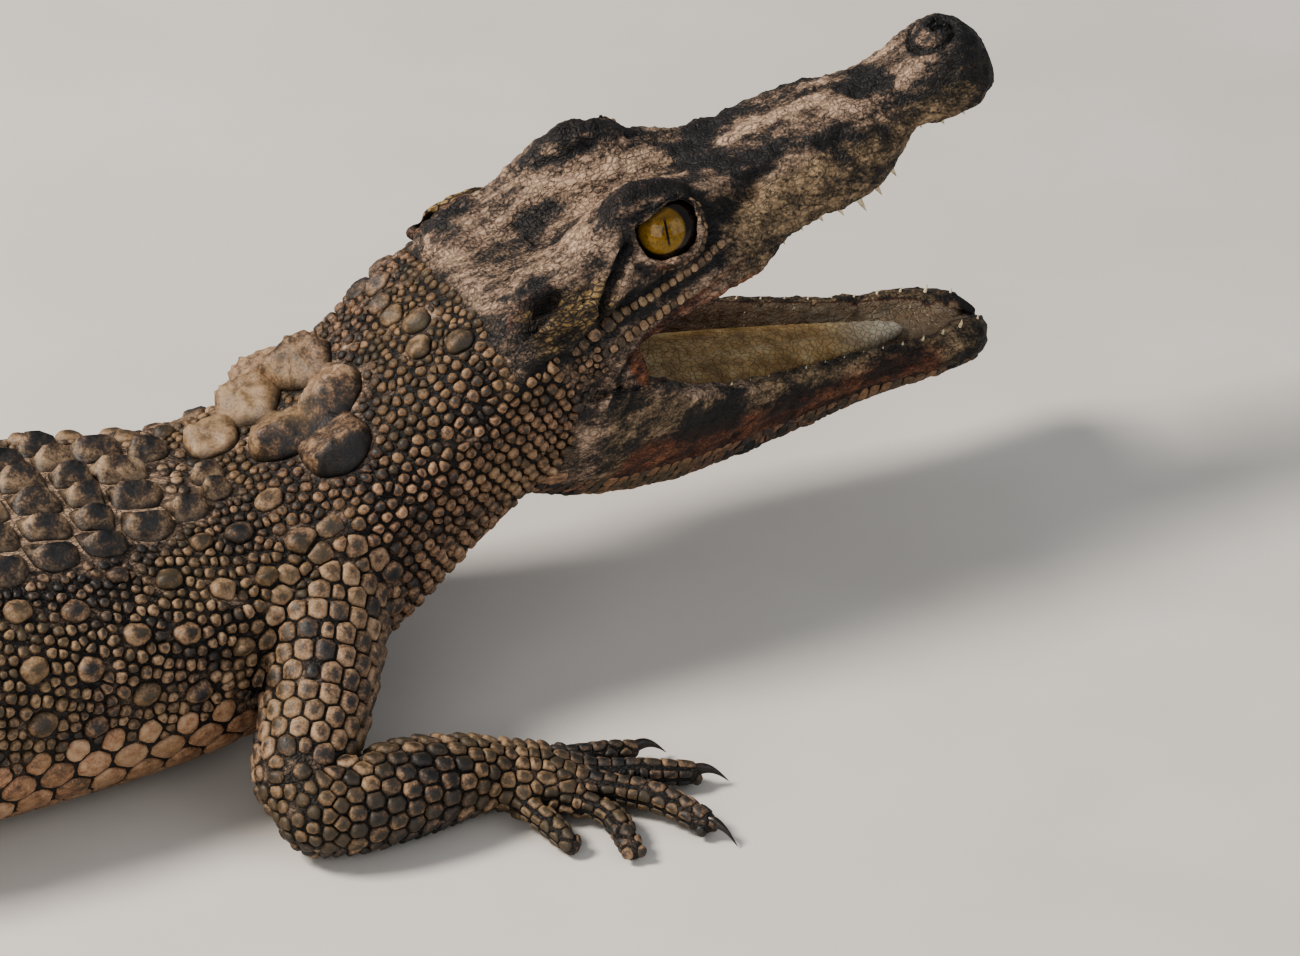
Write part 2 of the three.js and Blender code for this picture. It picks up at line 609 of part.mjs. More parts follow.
function buildHead(skull) {
  const teethSolids = toothRow(teeth.upper, teeth.biggestUpper, -1,
    (x) => along(head.lipY, x) - teeth.upper.inset, (x) => along(head.lipZ, x) + teeth.gum[0]);
  const lids = [1, -1].map((side) => ball(onSide(eye.at, side), eye.lidRadius));
  const eyes = [1, -1].map((side) => ball(onSide(eye.at, side), eye.radius));
  const ears = [1, -1].map((side) => earFlap(side));
  const holes = [1, -1].map((side) => lidOpening(side));
  const whole = joined([skull, ...lids, ...teethSolids]);
  const socketed = cutBy(whole, [...eyes, ...ears]);
  const headSolid = biggest(holes.reduce((rest, hole) => rest.subtract(hole), socketed));
  addPart('head', headSolid, 'skin_dark', headGroup);
  [1, -1].forEach((side, i) => {
    addPart(`eye_${sideName(side)}`, eyes[i], 'eye_gloss', headGroup);
    addPart(`ear_${sideName(side)}`, ears[i], 'skin_flank', headGroup);
  });
  return { headSolid, ears };
}

function buildJaw(bone, headParts) {
  const rimY = (x) => (along(jaw.innerY, x) + along(jaw.outerY, x)) / 2;
  const rimZ = (x) => along(jaw.rimZ, x) + teeth.gum[1];
  const teethSolids = toothRow(teeth.lower, teeth.biggestLower, 1, rimY, rimZ);
  const solid = biggest(cutBy(joined([bone, ...teethSolids]), headParts));
  addPart('lower_jaw', solid, 'skin_pale', jawGroup);
  return solid;
}

function buildTongue(surroundings) {
  const rings = steps(tongue.from, tongue.to, tongue.stations).map((x, i) => {
    const share = i / (tongue.stations - 1);
    const round = Math.sqrt(1 - tongue.tip.narrowed * share ** tongue.tip.late);
    const wide = Math.min(tongue.widest, along(jaw.innerY, x) * tongue.share) * round;
    const floor = along(jaw.floorZ, x);
    const arch = steps(0, Math.PI, tongue.sides).map((angle) =>
      [wide * Math.cos(angle), floor + seam + tongue.thick * round * Math.sin(angle) ** tongue.dome]);
    const [footShare, depth] = tongue.foot;
    return sectionRing(x, [...arch, [-wide * footShare, floor - depth], [wide * footShare, floor - depth]]);
  });
  addPart('tongue', biggest(cutBy(loft(rings), surroundings)), 'tongue_flesh', jawGroup);
}

function buildThroat() {
  const rings = throat.rows.map(([x, halfWidth, top, bottom]) => {
    const middle = (top + bottom) / 2;
    const high = (top - bottom) / 2;
    return sectionRing(x, turns(throat.sides).map((angle) => {
      const [y, z] = roundedBox(angle, halfWidth, high, high, throat.square, throat.square);
      return [y, z + middle];
    }));
  });
  return moved([loft(rings)], headFrame)[0];
}

function buildBody(headAndJaw) {
  const neck = biggest(cutBy(joined([bodyLength(lengths.neck), buildThroat()]), headAndJaw));
  addPart('neck', neck, 'skin_flank');
  addPart('trunk', bodyLength(lengths.trunk), 'skin_flank');
  for (const name of ['tail_base', 'tail_middle', 'tail_tip']) {
    const range = lengths[name];
    addPart(name, biggest(joined([bodyLength(range), ...tailCrests(range)])), 'skin_dark');
  }
  return neck;
}

// a leg in three lengths, each cut by the one it hangs from, then its claws
function buildLeg(side, names, rows, carriers) {
  let above = carriers;
  for (const name of names) {
    let solid = limbLoft(mirrored(rows[name], side), limb.sides, limb.turned);
    if (name === names[2]) {
      const digits = rows.digits.map((digit) =>
        digitSolid({ ...digit, path: mirrored(digit.path, side) }));
      solid = joined([solid, ...digits]);
    }
    solid = biggest(cutBy(solid, above));
    addPart(`${name}_${sideName(side)}`, solid, 'skin_dark');
    above = [...carriers, solid];
    if (name === names[2]) {
      rows.digits.filter((digit) => digit.claw).forEach((digit, i) => {
        const path = mirrored(digit.path, side);
        const nail = biggest(cutBy(clawSolid({ path }), [solid]));
        addPart(`${name}_claw_${i + 1}_${sideName(side)}`, nail, 'claw_horn');
      });
    }
  }
}

const jawInWorld = headFrame.clone().multiply(jawFrame);
const skullLoft = loft(head.stations.map((x) => sectionRing(x, headSection(x))));
const jawLoft = loft(jaw.stations.map((x) => sectionRing(x, jawSection(x))));
const { headSolid, ears } = buildHead(skullLoft);
const headPartsInJaw = moved([headSolid, ...ears], jawFrame.clone().invert());
const jawSolid = buildJaw(jawLoft, headPartsInJaw);
const neckSolid = buildBody([...moved([skullLoft, ...ears], headFrame), ...moved([jawLoft], jawInWorld)]);
buildTongue([jawSolid, ...headPartsInJaw, ...moved([neckSolid], jawInWorld.clone().invert())]);
const trunkLoft = bodyLength(lengths.trunk);
for (const side of [1, -1]) {
  buildLeg(side, ['upper_arm', 'forearm', 'hand'], foreLeg, [trunkLoft, bodyLength(lengths.neck)]);
  buildLeg(side, ['thigh', 'shank', 'foot'], hindLeg, [trunkLoft, bodyLength(lengths.tail_base)]);
}

export default crocodile;
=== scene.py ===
import functools
import math

import bpy
import numpy as np
from mathutils import Matrix, Vector, kdtree, noise
from mathutils.bvhtree import BVHTree


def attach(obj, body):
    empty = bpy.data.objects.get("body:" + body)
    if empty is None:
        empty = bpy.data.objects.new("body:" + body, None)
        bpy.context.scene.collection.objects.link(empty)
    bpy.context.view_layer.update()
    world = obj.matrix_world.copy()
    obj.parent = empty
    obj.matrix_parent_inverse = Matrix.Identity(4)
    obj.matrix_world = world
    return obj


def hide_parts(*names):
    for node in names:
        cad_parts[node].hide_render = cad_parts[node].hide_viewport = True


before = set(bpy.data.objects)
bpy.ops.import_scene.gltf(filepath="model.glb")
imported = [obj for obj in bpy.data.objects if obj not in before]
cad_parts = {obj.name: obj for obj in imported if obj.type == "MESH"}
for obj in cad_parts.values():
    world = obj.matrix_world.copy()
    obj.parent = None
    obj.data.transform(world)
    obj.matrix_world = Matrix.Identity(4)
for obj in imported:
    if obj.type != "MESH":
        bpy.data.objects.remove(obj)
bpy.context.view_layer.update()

# A young Nile crocodile, one metre long: skin, scales, eyes, teeth, tongue and claws.
# Shapes are worked out in millimetres and become metres when their mesh is made.
mm = 0.001
degree = math.pi / 180


# how the animal is looked at
viewpoint = {
    "turn": -24 * degree,  # round the animal, from straight across its right side towards its front
    "rise": 32 * degree,
    "aim": (0.2101, -0.0214, 0.045),
    "distance": 1.736,
    "lens": 200,
    "farthest": 20,
}


def setCamera():
    turn, rise = viewpoint["turn"], viewpoint["rise"]
    back = Vector((math.sin(turn) * math.cos(rise), -math.cos(turn) * math.cos(rise), math.sin(rise)))
    place = Vector(viewpoint["aim"]) + back * viewpoint["distance"]
    bpy.ops.object.camera_add(location=place, rotation=back.to_track_quat("Z", "Y").to_euler())
    camera = bpy.context.object
    camera.data.lens = viewpoint["lens"]
    camera.data.clip_end = viewpoint["farthest"]
    bpy.context.scene.camera = camera


studio = {
    # lights: name, place, size, watts, colour; each points at the aim
    "lights": [
        ("keyLight", (-1.0, 0.32, 1.35), 0.5, 38, (1, 0.94, 0.86)),
        ("fillLight", (1.2, -1.5, 0.9), 1.6, 8, (0.88, 0.93, 1)),
        ("sideLight", (-0.9, -1.3, 0.8), 1.2, 9, (1, 0.96, 0.92)),
    ],
    "sky": (0.83, 0.86, 0.9, 1),
    "skyStrength": 0.38,
    "floorSize": 14,
}


def setLights():
    for name, place, size, watts, colour in studio["lights"]:
        toAim = Vector(place) - Vector(viewpoint["aim"])
        bpy.ops.object.light_add(type="AREA", location=place,
                                 rotation=toAim.to_track_quat("Z", "Y").to_euler())
        light = bpy.context.object
        light.name = name
        light.data.size, light.data.energy, light.data.color = size, watts, colour
    world = bpy.data.worlds.new("softStudio")
    world.use_nodes = True
    sky = world.node_tree.nodes["Background"].inputs
    sky["Color"].default_value, sky["Strength"].default_value = studio["sky"], studio["skyStrength"]
    bpy.context.scene.world = world
    bpy.context.scene.view_settings.view_transform = "AgX"
    bpy.context.scene.view_settings.look = "AgX - Medium High Contrast"


def layFloor():
    bpy.ops.mesh.primitive_plane_add(size=studio["floorSize"])
    floor = bpy.context.object
    floor.name = "studioFloor"
    return floor


def turns(count):
    # angles of equal steps round a full turn
    return np.linspace(0, 2 * math.pi, count, endpoint=False)


def unit(vectors):
    vectors = np.asarray(vectors, float)
    return vectors / np.maximum(np.linalg.norm(vectors, axis=-1, keepdims=True), 1e-9)


def distances(line):
    # how far along a line each of its points lies
    return np.concatenate([[0], np.cumsum(np.linalg.norm(np.diff(line, axis=0), axis=1))])


def along(profile, at, column=1):
    # smooth value of a profile of rows (position, value, ...), with no overshoot between rows
    rows = np.asarray(profile, float)
    x, y = rows[:, 0], rows[:, column]
    at = np.clip(np.asarray(at, float), x[0], x[-1])
    step = np.diff(x)
    slope = np.diff(y) / step
    tangent = np.concatenate([slope[:1], np.zeros(len(x) - 2), slope[-1:]])
    before, after = slope[:-1], slope[1:]
    same = before * after > 0
    w1, w2 = 2 * step[1:] + step[:-1], step[1:] + 2 * step[:-1]
    safeBefore, safeAfter = np.where(same, before, 1), np.where(same, after, 1)
    tangent[1:-1] = np.where(same, (w1 + w2) / (w1 / safeBefore + w2 / safeAfter), 0)
    i = np.clip(np.searchsorted(x, at, side="right") - 1, 0, len(x) - 2)
    s = (at - x[i]) / step[i]
    return ((2 * s**3 - 3 * s**2 + 1) * y[i] + (s**3 - 2 * s**2 + s) * step[i] * tangent[i]
            + (3 * s**2 - 2 * s**3) * y[i + 1] + (s**3 - s**2) * step[i] * tangent[i + 1])


def profilesAt(table, names, x):
    return [along(table[name], x) for name in names.split()]


def throughPoints(points, at):
    # place and direction on a smooth curve through the points, at counting from 0 along them
    points = np.asarray(points, float)
    ends = np.vstack([2 * points[0] - points[1], points, 2 * points[-1] - points[-2]])
    at = np.atleast_1d(np.asarray(at, float))
    i = np.clip(np.floor(at).astype(int), 0, len(points) - 2)
    t = (at - i)[:, None]
    a, b, c, d = ends[i], ends[i + 1], ends[i + 2], ends[i + 3]
    v0, v1 = (c - a) / 2, (d - b) / 2
    cubic, square = 2 * b - 2 * c + v0 + v1, -3 * b + 3 * c - 2 * v0 - v1
    return cubic * t**3 + square * t**2 + v0 * t + b, unit(3 * cubic * t**2 + 2 * square * t + v0)


def sideAndUp(forward):
    left = unit(np.stack([-forward[:, 1], forward[:, 0], np.zeros(len(forward))], 1))
    return left, np.cross(forward, left)


def signedPower(value, power):
    return np.sign(value) * np.abs(value) ** power


def roundedBox(angle, wide, up, down, squareTop, squareBottom):
    # outline of a rounded box, the angle counted from the top
    above = np.cos(angle) >= 0
    power = np.where(above, 2 / squareTop, 2 / squareBottom)
    high = np.where(above, up, down) * signedPower(np.cos(angle), power)
    return wide * signedPower(np.sin(angle), power), high


def cornersOf(*pairs):
    return np.stack([np.stack(pair, 1) for pair in pairs], 1)


def ringThrough(corners, counts):
    # corners (stations, corners, 2) run from the midline above to the one below; gives whole, rounded rings
    flip = np.array([-1, 1])
    points = np.concatenate([corners[:, 1:2] * flip, corners, corners[:, -2:-1] * flip], 1)
    half = []
    for span, count in enumerate(counts):
        a, b, c, d = (points[:, span + k] for k in range(4))
        for k in range(count):
            t = k / count
            half.append(0.5 * (2 * b + (c - a) * t + (2 * a - 5 * b + 4 * c - d) * t**2
                               + (3 * b - a - 3 * c + d) * t**3))
    half = np.stack([*half, corners[:, -1]], 1)
    return np.concatenate([half, half[:, -2:0:-1] * flip], 1)


def sectionRings(x, outline):
    stations, around = outline.shape[:2]
    return np.concatenate([np.broadcast_to(x[:, None, None], (stations, around, 1)), outline], 2)


def smoothStep(low, high, value):
    t = np.clip((np.asarray(value, float) - low) / (high - low), 0, 1)
    return t * t * (3 - 2 * t)


def bell(value, middle, width):
    return np.exp(-(((np.asarray(value, float) - middle) / width) ** 2))


def choose(*objects):
    bpy.ops.object.select_all(action="DESELECT")
    for item in objects:
        item.select_set(True)
    bpy.context.view_layer.objects.active = objects[0]


def smooth(*objects):
    # joins the objects and shades them smooth
    choose(*objects)
    if len(objects) > 1:
        bpy.ops.object.join()
    bpy.ops.object.shade_smooth()
    return objects[0]


def editMesh(item, **steps):
    # runs edit-mode operators with their settings, each on the whole mesh
    choose(item)
    bpy.ops.object.mode_set(mode="EDIT")
    for operator, settings in steps.items():
        bpy.ops.mesh.select_all(action="SELECT")
        getattr(bpy.ops.mesh, operator)(**settings)
    bpy.ops.object.mode_set(mode="OBJECT")


def pointsOf(item):
    flat = np.zeros(len(item.data.vertices) * 3)
    item.data.vertices.foreach_get("co", flat)
    return flat.reshape(-1, 3) / mm


def normalsOf(item):
    flat = np.zeros(len(item.data.vertices) * 3, np.float32)
    item.data.vertex_normals.foreach_get("vector", flat)
    return flat.reshape(-1, 3).astype(float)


def setPoints(item, points):
    item.data.vertices.foreach_set("co", (np.asarray(points) * mm).ravel())
    item.data.update()


def noteOn(item, **notes):
    # keeps three numbers at each point of the mesh, for its material to read
    for name, values in notes.items():
        item.data.attributes.new(name, "FLOAT_VECTOR", "POINT").data.foreach_set("vector", values.ravel())


def wrap(name, rings):
    # a flat grid rolled into a closed tube, one row of its points on each ring
    stations, around = rings.shape[:2]
    bpy.ops.mesh.primitive_grid_add(x_subdivisions=around, y_subdivisions=stations - 1, size=1)
    tube = bpy.context.object
    tube.name = name
    setPoints(tube, np.concatenate([rings, rings[:, :1]], 1).reshape(-1, 3))
    editMesh(tube, remove_doubles={"threshold": 1e-6}, fill_holes={"sides": 0},
             normals_make_consistent={"inside": False})
    return tube


def closedTube(name, rings):
    # a tube whose last ring meets its first
    stations, around = rings.shape[:2]
    bpy.ops.mesh.primitive_torus_add(major_segments=stations, minor_segments=around, major_radius=1,
                                     minor_radius=0.25)
    tube = bpy.context.object
    tube.name = name
    setPoints(tube, rings.reshape(-1, 3))
    editMesh(tube, normals_make_consistent={"inside": False})
    return tube


def addBall(name, radius, place, segments=48, rings=32):
    bpy.ops.mesh.primitive_uv_sphere_add(segments=segments, ring_count=rings, radius=radius * mm,
                                         location=Vector(place) * mm)
    ball = bpy.context.object
    ball.name = name
    bpy.ops.object.transform_apply(location=True, rotation=True, scale=True)
    return ball


def applyModifier(item, kind, **settings):
    choose(item)
    modifier = item.modifiers.new(kind.lower(), kind)
    for key, value in settings.items():
        setattr(modifier, key, value)
    bpy.ops.object.modifier_apply(modifier=modifier.name)


def combine(base, other, operation="UNION"):
    applyModifier(base, "BOOLEAN", operation=operation, object=other, solver="MANIFOLD")
    bpy.data.objects.remove(other)


def worldPoints(points, matrix):
    return np.asarray(points, float) @ np.array(matrix.to_3x3()).T + np.array(matrix.translation)


def localPoints(points, matrix):
    return worldPoints(points, matrix.inverted())


def folded(points, matrix):
    # x, y and z in a frame, with the right side laid on the left
    x, y, z = localPoints(points, matrix).T
    return x, np.abs(y), z


def carry(item, matrix):
    setPoints(item, worldPoints(pointsOf(item), matrix))


# the body's form: neck, trunk and tail along one midline
body = {
    "spine": [(196, 6.5, 90), (178, 5, 82), (162, 3.4, 70), (146, 2, 57), (128, 0.6, 45.5), (108, 0, 37),
              (84, 0, 34), (50, 0, 34.5), (10, 0, 35), (-40, 0, 34.5), (-85, 0, 32), (-118, 0, 28.5)],
    "tailRoot": (-148, -1),
    "tailLength": 520,
    "tailLinks": 8,
    "tailSweep": 78 * degree,
    "tailBow": 3 * degree,
    # half width, height above and depth below the midline, a row for each of its points
    "girth": [(28, 15, 27), (33, 19, 33), (33.5, 20, 34), (34.5, 21, 32), (38.5, 24, 31.5), (43, 27.5, 33),
              (48.5, 31, 33.5), (53.5, 35, 34.5), (56, 36.5, 35), (53.5, 35.5, 34.5), (46, 33, 32),
              (38, 30, 28.5), (30, 26.5, 25.2), (24.5, 23, 21), (19.5, 20, 17), (15.5, 17.5, 13.8),
              (12.3, 15.5, 11.2), (9.6, 13, 9), (7, 10.5, 7), (4.4, 7.4, 4.8), (1.4, 2.8, 2.6)],
    "pressed": [(4, 0), (6.5, 1.5), (12, 1.5), (20, 0.8)],  # how far the floor presses the belly flat
    "squareTop": 2.35,
    "squareBottom": 2.6,
    "around": 72,
    "step": 4.5,
    # how deep the skin lies under the tips of the scales: neck, back, flank, belly
    "depth": (1.0, 1.9, 1.2, 0.7),
}
girthRows = [(i, *row) for i, row in enumerate(body["girth"])]  # each led by its point on the midline


def layMidline():
    points = [list(point) for point in body["spine"]]
    x, y = body["tailRoot"]
    step = body["tailLength"] / body["tailLinks"]
    for i in range(body["tailLinks"] + 1):
        points.append([x, y, body["girth"][len(body["spine"]) + i][2]])
        share = (i + 0.5) / body["tailLinks"]
        heading = math.pi - body["tailBow"] + body["tailSweep"] * (1 - math.cos(math.pi * share)) / 2
        x += step * math.cos(heading)
        y -= step * abs(math.sin(heading))
    return np.array(points)


midline = layMidline()
fineAt = np.linspace(0, len(midline) - 1, 2001)
fineLine = throughPoints(midline, fineAt)[0]
fineRun = distances(fineLine)
bodyRun = fineRun[-1]


def atOf(run):
    return np.interp(run, fineRun, fineAt)  # midline count at a distance back from the throat


def runOf(at):
    return np.interp(at, fineAt, fineRun)


def bodyPoints(run, angle, inset=0.0):
    # points of the body's outline, run millimetres back, angle from the top towards the left
    run, angle, inset = np.broadcast_arrays(np.asarray(run, float), angle, inset)
    at, depth = atOf(run.ravel()), inset.ravel()
    centre, backward = throughPoints(midline, at)
    left, up = sideAndUp(-backward)
    wide, above, below = (along(girthRows, at, column) for column in (1, 2, 3))
    sizes = (np.maximum(size - depth, 0.3) for size in (wide, above, below + along(body["pressed"], at)))
    y, z = roundedBox(angle.ravel(), *sizes, body["squareTop"], body["squareBottom"])
    points = centre + left * y[:, None] + up * z[:, None]
    points[:, 2] = np.maximum(points[:, 2], depth)
    return points.reshape(*run.shape, 3)


def bodyDepth(run, angle):
    neck, back, flank, belly = body["depth"]
    turned = np.abs(angle)
    side = flank + (belly - flank) * smoothStep(1.75, 2.3, turned)
    top = back + (side - back) * smoothStep(0.8, 1.3, turned)
    onBack = smoothStep(runOf(3.2), runOf(4.6), run)
    slim = 1 - 0.5 * smoothStep(runOf(14), runOf(20), run)
    return (neck + (top - neck) * onBack) * slim


def buildBody():
    run = np.linspace(0.5, bodyRun - 0.6, int(bodyRun / body["step"]))
    runs, angles = np.meshgrid(run, turns(body["around"]), indexing="ij")
    turned = np.where(angles > math.pi, angles - 2 * math.pi, angles)
    return wrap("bodyForm", bodyPoints(runs, angles, bodyDepth(runs, turned)))


# the head's form
head = {
    "at": (178.5, 5, 86.4),  # back of the skull table
    "heading": 5.3 * degree,
    "pitch": 13.5 * degree,
    "roll": 5.5 * degree,
    # each profile is (distance forward, value) in the head's own frame, y being half the width
    "crown": [(-22, 4), (-10, 9), (0, 13), (16, 13.5), (30, 14.5), (44, 14), (56, 12.5), (84, 12), (98, 10.5),
              (110, 9), (121, 10.5), (131, 14), (138, 11.5), (143, 3)],
    "browY": [(-22, 14), (-6, 19), (0, 20.5), (16, 19.5), (28, 17.5), (38, 16), (50, 15), (62, 12.5),
              (80, 11.5), (98, 10.5), (112, 8.5), (131, 8.5), (138, 6.5), (143, 1)],
    "browZ": [(-22, 3), (-6, 11), (0, 13.5), (16, 15.5), (26, 21.5), (35, 26.5), (44, 24), (52, 17.5),
              (60, 12.5), (70, 9.5), (84, 9.5), (98, 8), (112, 6.5), (122, 8.5), (131, 11), (138, 8.5),
              (143, 1)],
    "cheekY": [(-22, 26), (-10, 30), (0, 31.5), (16, 31), (34, 28.5), (48, 26), (60, 23.5), (72, 20.5),
               (84, 19.5), (96, 19.3), (106, 16.5), (116, 12.8), (122, 13.5), (131, 14.2), (139, 10.5),
               (143, 2)],
    "cheekZ": [(-22, -8), (-6, -6), (10, -4), (30, -1.5), (48, -2), (62, -3), (80, -2), (112, -1.5), (131, 0),
               (143, -0.5)],
    "lipY": [(-22, 24), (-10, 27.5), (0, 28.5), (16, 28), (34, 26), (48, 24), (60, 22), (72, 19), (84, 17.5),
             (96, 17), (106, 13.5), (116, 9.8), (122, 11), (131, 11.5), (139, 8), (143, 1)],
    "lipZ": [(-22, -13), (-10, -12), (0, -10.5), (16, -8), (34, -6.5), (48, -8), (60, -10.5), (70, -8.5),
             (80, -7.5), (92, -9.5), (100, -9.5), (110, -6), (116, -3), (122, -5), (131, -4.8), (139, -3.4),
             (143, -1.5)],
    "palateZ": [(-22, -9), (0, -6), (30, -3), (60, -2.5), (90, -2), (115, -1), (131, -2), (143, -1.2)],
    "counts": (19, 16, 13, 14),
    "step": 0.75,
    "depth": 0.35,
}
headFrame = (Matrix.Translation(head["at"]) @ Matrix.Rotation(head["heading"], 4, "Z")
             @ Matrix.Rotation(-head["pitch"], 4, "Y") @ Matrix.Rotation(head["roll"], 4, "X"))


def headCorners(x):
    zero = np.zeros_like(x)
    crown, browY, browZ, cheekY, cheekZ, lipY, lipZ, palateZ = profilesAt(
        head, "crown browY browZ cheekY cheekZ lipY lipZ palateZ", x)
    return cornersOf((zero, crown), (browY, browZ), (cheekY, cheekZ), (lipY, lipZ), (zero, palateZ))


def sunkForm(name, part, x, corners):
    # a form a little under its outline, to leave room for what stands on the hide
    form = wrap(name, sectionRings(x, ringThrough(corners, part["counts"])))
    setPoints(form, pointsOf(form) - normalsOf(form) * part["depth"])
    return form


eye = {
    "at": (42.2, 16.2, 10.9),
    "radius": 9.4,
    "lidRadius": 11.1,
    "gaze": (0, 0.8, 0.6),
    # outline of the opening between the lids, ahead and above of the line of sight
    "edge": [(7.6, -0.1), (7.5, 3.6), (3.1, 6.2), (-2.7, 5.5), (-7.8, 4.4), (-9.1, 1.2), (-8.9, -2.3),
             (-7, -5.9), (-2.5, -7.6), (1.9, -7.3), (5.5, -4.9)],
    "points": 66,  # round that outline
    "opening": [(0, 0.7), (4, 0.9), (8, 1), (14.4, 1.15)],  # how wide the opening is, this far out
    "socketGap": 0.12,
    "rim": 0.75,
    "rimSunk": 0.75,
}
ear = {"at": (7.5, 25.6, 6.6), "size": (11.7, 2.3, 5.3), "lean": 25 * degree}


def onSide(point, side):
    return np.array([point[0], side * point[1], point[2]])


def eyeAxes(side):
    # along the line of sight, ahead and above
    sight = unit(onSide(eye["gaze"], side))
    ahead = np.array([1.0, 0, 0])
    ahead = unit(ahead - sight * ahead.dot(sight))
    above = np.cross(sight, ahead)
    return sight, ahead, above if above[2] > 0 else -above


def lidEdge(count):
    # how far ahead and above the line of sight the points round the opening between the lids lie
    edge = eye["edge"]
    loop = np.array([edge[-1], *edge, *edge[:2]], float)
    return throughPoints(loop, np.linspace(1, len(edge) + 1, count, endpoint=False))[0].T


def buildLids(form, side):
    centre = onSide(eye["at"], side)
    sight, ahead, above = eyeAxes(side)
    combine(form, addBall("lidBall", eye["lidRadius"], centre))
    u, v = lidEdge(eye["points"])
    flat = u[:, None] * ahead + v[:, None] * above
    opening = wrap("lidGap", np.stack([centre + flat * grow + sight * out for out, grow in eye["opening"]]))
    combine(form, opening, "DIFFERENCE")
    combine(form, addBall("socketBall", eye["radius"] + eye["socketGap"], centre), "DIFFERENCE")
    reach = np.sqrt(np.maximum((eye["lidRadius"] - eye["rimSunk"]) ** 2 - u**2 - v**2, 1))
    edge = centre + flat + reach[:, None] * sight
    outward = unit(edge - centre)
    across = np.cross(unit(np.roll(edge, -1, 0) - np.roll(edge, 1, 0)), outward)
    around = turns(12)[:, None]
    combine(form, closedTube("lidRim", edge[:, None] + eye["rim"] * (
        np.cos(around) * outward[:, None] + np.sin(around) * across[:, None])))


def buildEarFlap(form, side):
    flap = addBall("earForm", 1, (0, 0, 0), 40, 24)
    turn = np.array(Matrix.Rotation(-side * ear["lean"], 3, "X"))
    setPoints(flap, pointsOf(flap) * ear["size"] @ turn.T + onSide(ear["at"], side))
    combine(form, flap)


def buildHead():
    x = np.concatenate([np.arange(-22, 138, head["step"]), [138, 139, 140, 141, 142, 142.6]])
    form = sunkForm("headForm", head, x, headCorners(x))
    for side in (1, -1):
        buildEarFlap(form, side)
        buildLids(form, side)
    return form


# the lower jaw's form
jaw = {
    "at": (-12, 0, -16),  # the jaw joint, in the head's frame
    "gape": 24 * degree,
    "outerY": [(-18, 20), (-8, 27), (0, 30.5), (20, 31.5), (40, 29.5), (60, 26), (80, 21.5), (100, 17.5),
               (120, 14.5), (145, 13), (152, 9.5), (156, 1.5)],
    "rimZ": [(-18, 2), (0, 4), (15, 8), (30, 10.3), (38, 10.2), (44, 8.4), (50, 6), (60, 3.8), (70, 2.2),
             (90, 0.6), (125, 0), (148, 1), (154, -0.5), (156, -3)],
    "sideZ": [(-18, -7), (0, -8), (60, -8.5), (90, -7.5), (120, -6.5), (145, -5), (156, -5)],
    "keelY": [(-18, 11), (0, 20), (30, 21), (60, 17), (90, 12), (120, 9.5), (145, 8), (152, 6), (156, 1)],
    "keelZ": [(-18, -11), (0, -18), (30, -24.5), (60, -26.5), (80, -25), (100, -21), (120, -16), (145, -11.5),
              (156, -7)],
    "chinZ": [(-18, -12), (0, -22), (30, -30), (60, -33), (80, -30), (100, -25), (120, -18.5), (145, -12.5),
              (156, -8)],
    "innerY": [(-18, 14), (0, 23), (20, 25), (40, 23.5), (60, 20.5), (80, 16.5), (100, 12.5), (118, 9.5),
               (135, 7), (146, 2.5), (156, 0.5)],
    "floorZ": [(-18, -6), (0, -8), (30, -9), (60, -8), (90, -6.5), (118, -5), (135, -2.5), (146, 0),
               (156, -3)],
    "floorShare": 0.7,
    "counts": (10, 6, 4, 4, 6, 9, 12),
    "step": 1.3,
    "depth": 0.35,
}
jawFrame = headFrame @ Matrix.Translation(jaw["at"]) @ Matrix.Rotation(jaw["gape"], 4, "Y")


def jawCorners(x):
    zero = np.zeros_like(x)
    outer, rim, side, keelY, keelZ, chin, inner, floor = profilesAt(
        jaw, "outerY rimZ sideZ keelY keelZ chinZ innerY floorZ", x)
    return cornersOf((zero, floor - 0.6), (inner * jaw["floorShare"], floor), (inner, rim - 1),
                     ((inner + outer) / 2, rim + 0.6), (outer, rim - 1.5), (outer + 0.3, side),
                     (keelY, keelZ), (zero, chin))


def buildJaw():
    x = np.concatenate([np.arange(-18, 150, jaw["step"]), [151, 152, 153, 154, 154.8, 155.3]])
    return sunkForm("jawForm", jaw, x, jawCorners(x))


throat = {
    # distance forward, half width, top, bottom
    "rows": [(-20, 26, -5, -22), (0, 28, -4, -24), (14, 28.8, -3.5, -30), (22, 28.4, -4, -33),
             (27, 27, -6, -33)],
    "front": 26.6,
    "square": 3.6,
    "depth": 0.6,
    "hollow": ((36, 0, -16), (23, 25.5, 12.5)),  # middle and half sizes of the back of the mouth
}


def buildThroat():
    x = np.linspace(throat["rows"][0][0], throat["front"], 56)
    wide, top, bottom = (along(throat["rows"], x, column)[:, None] for column in (1, 2, 3))
    high, square = (top - bottom) / 2, throat["square"]
    y, z = roundedBox(turns(120)[None], wide - throat["depth"], high, high, square, square)
    form = wrap("throatForm", sectionRings(x, np.stack([y, z + (top + bottom) / 2], 2)))
    hollow = addBall("hollowForm", 1, (0, 0, 0), 64, 40)
    middle, size = throat["hollow"]
    setPoints(hollow, pointsOf(hollow) * size + middle)
    combine(form, hollow, "DIFFERENCE")
    return form


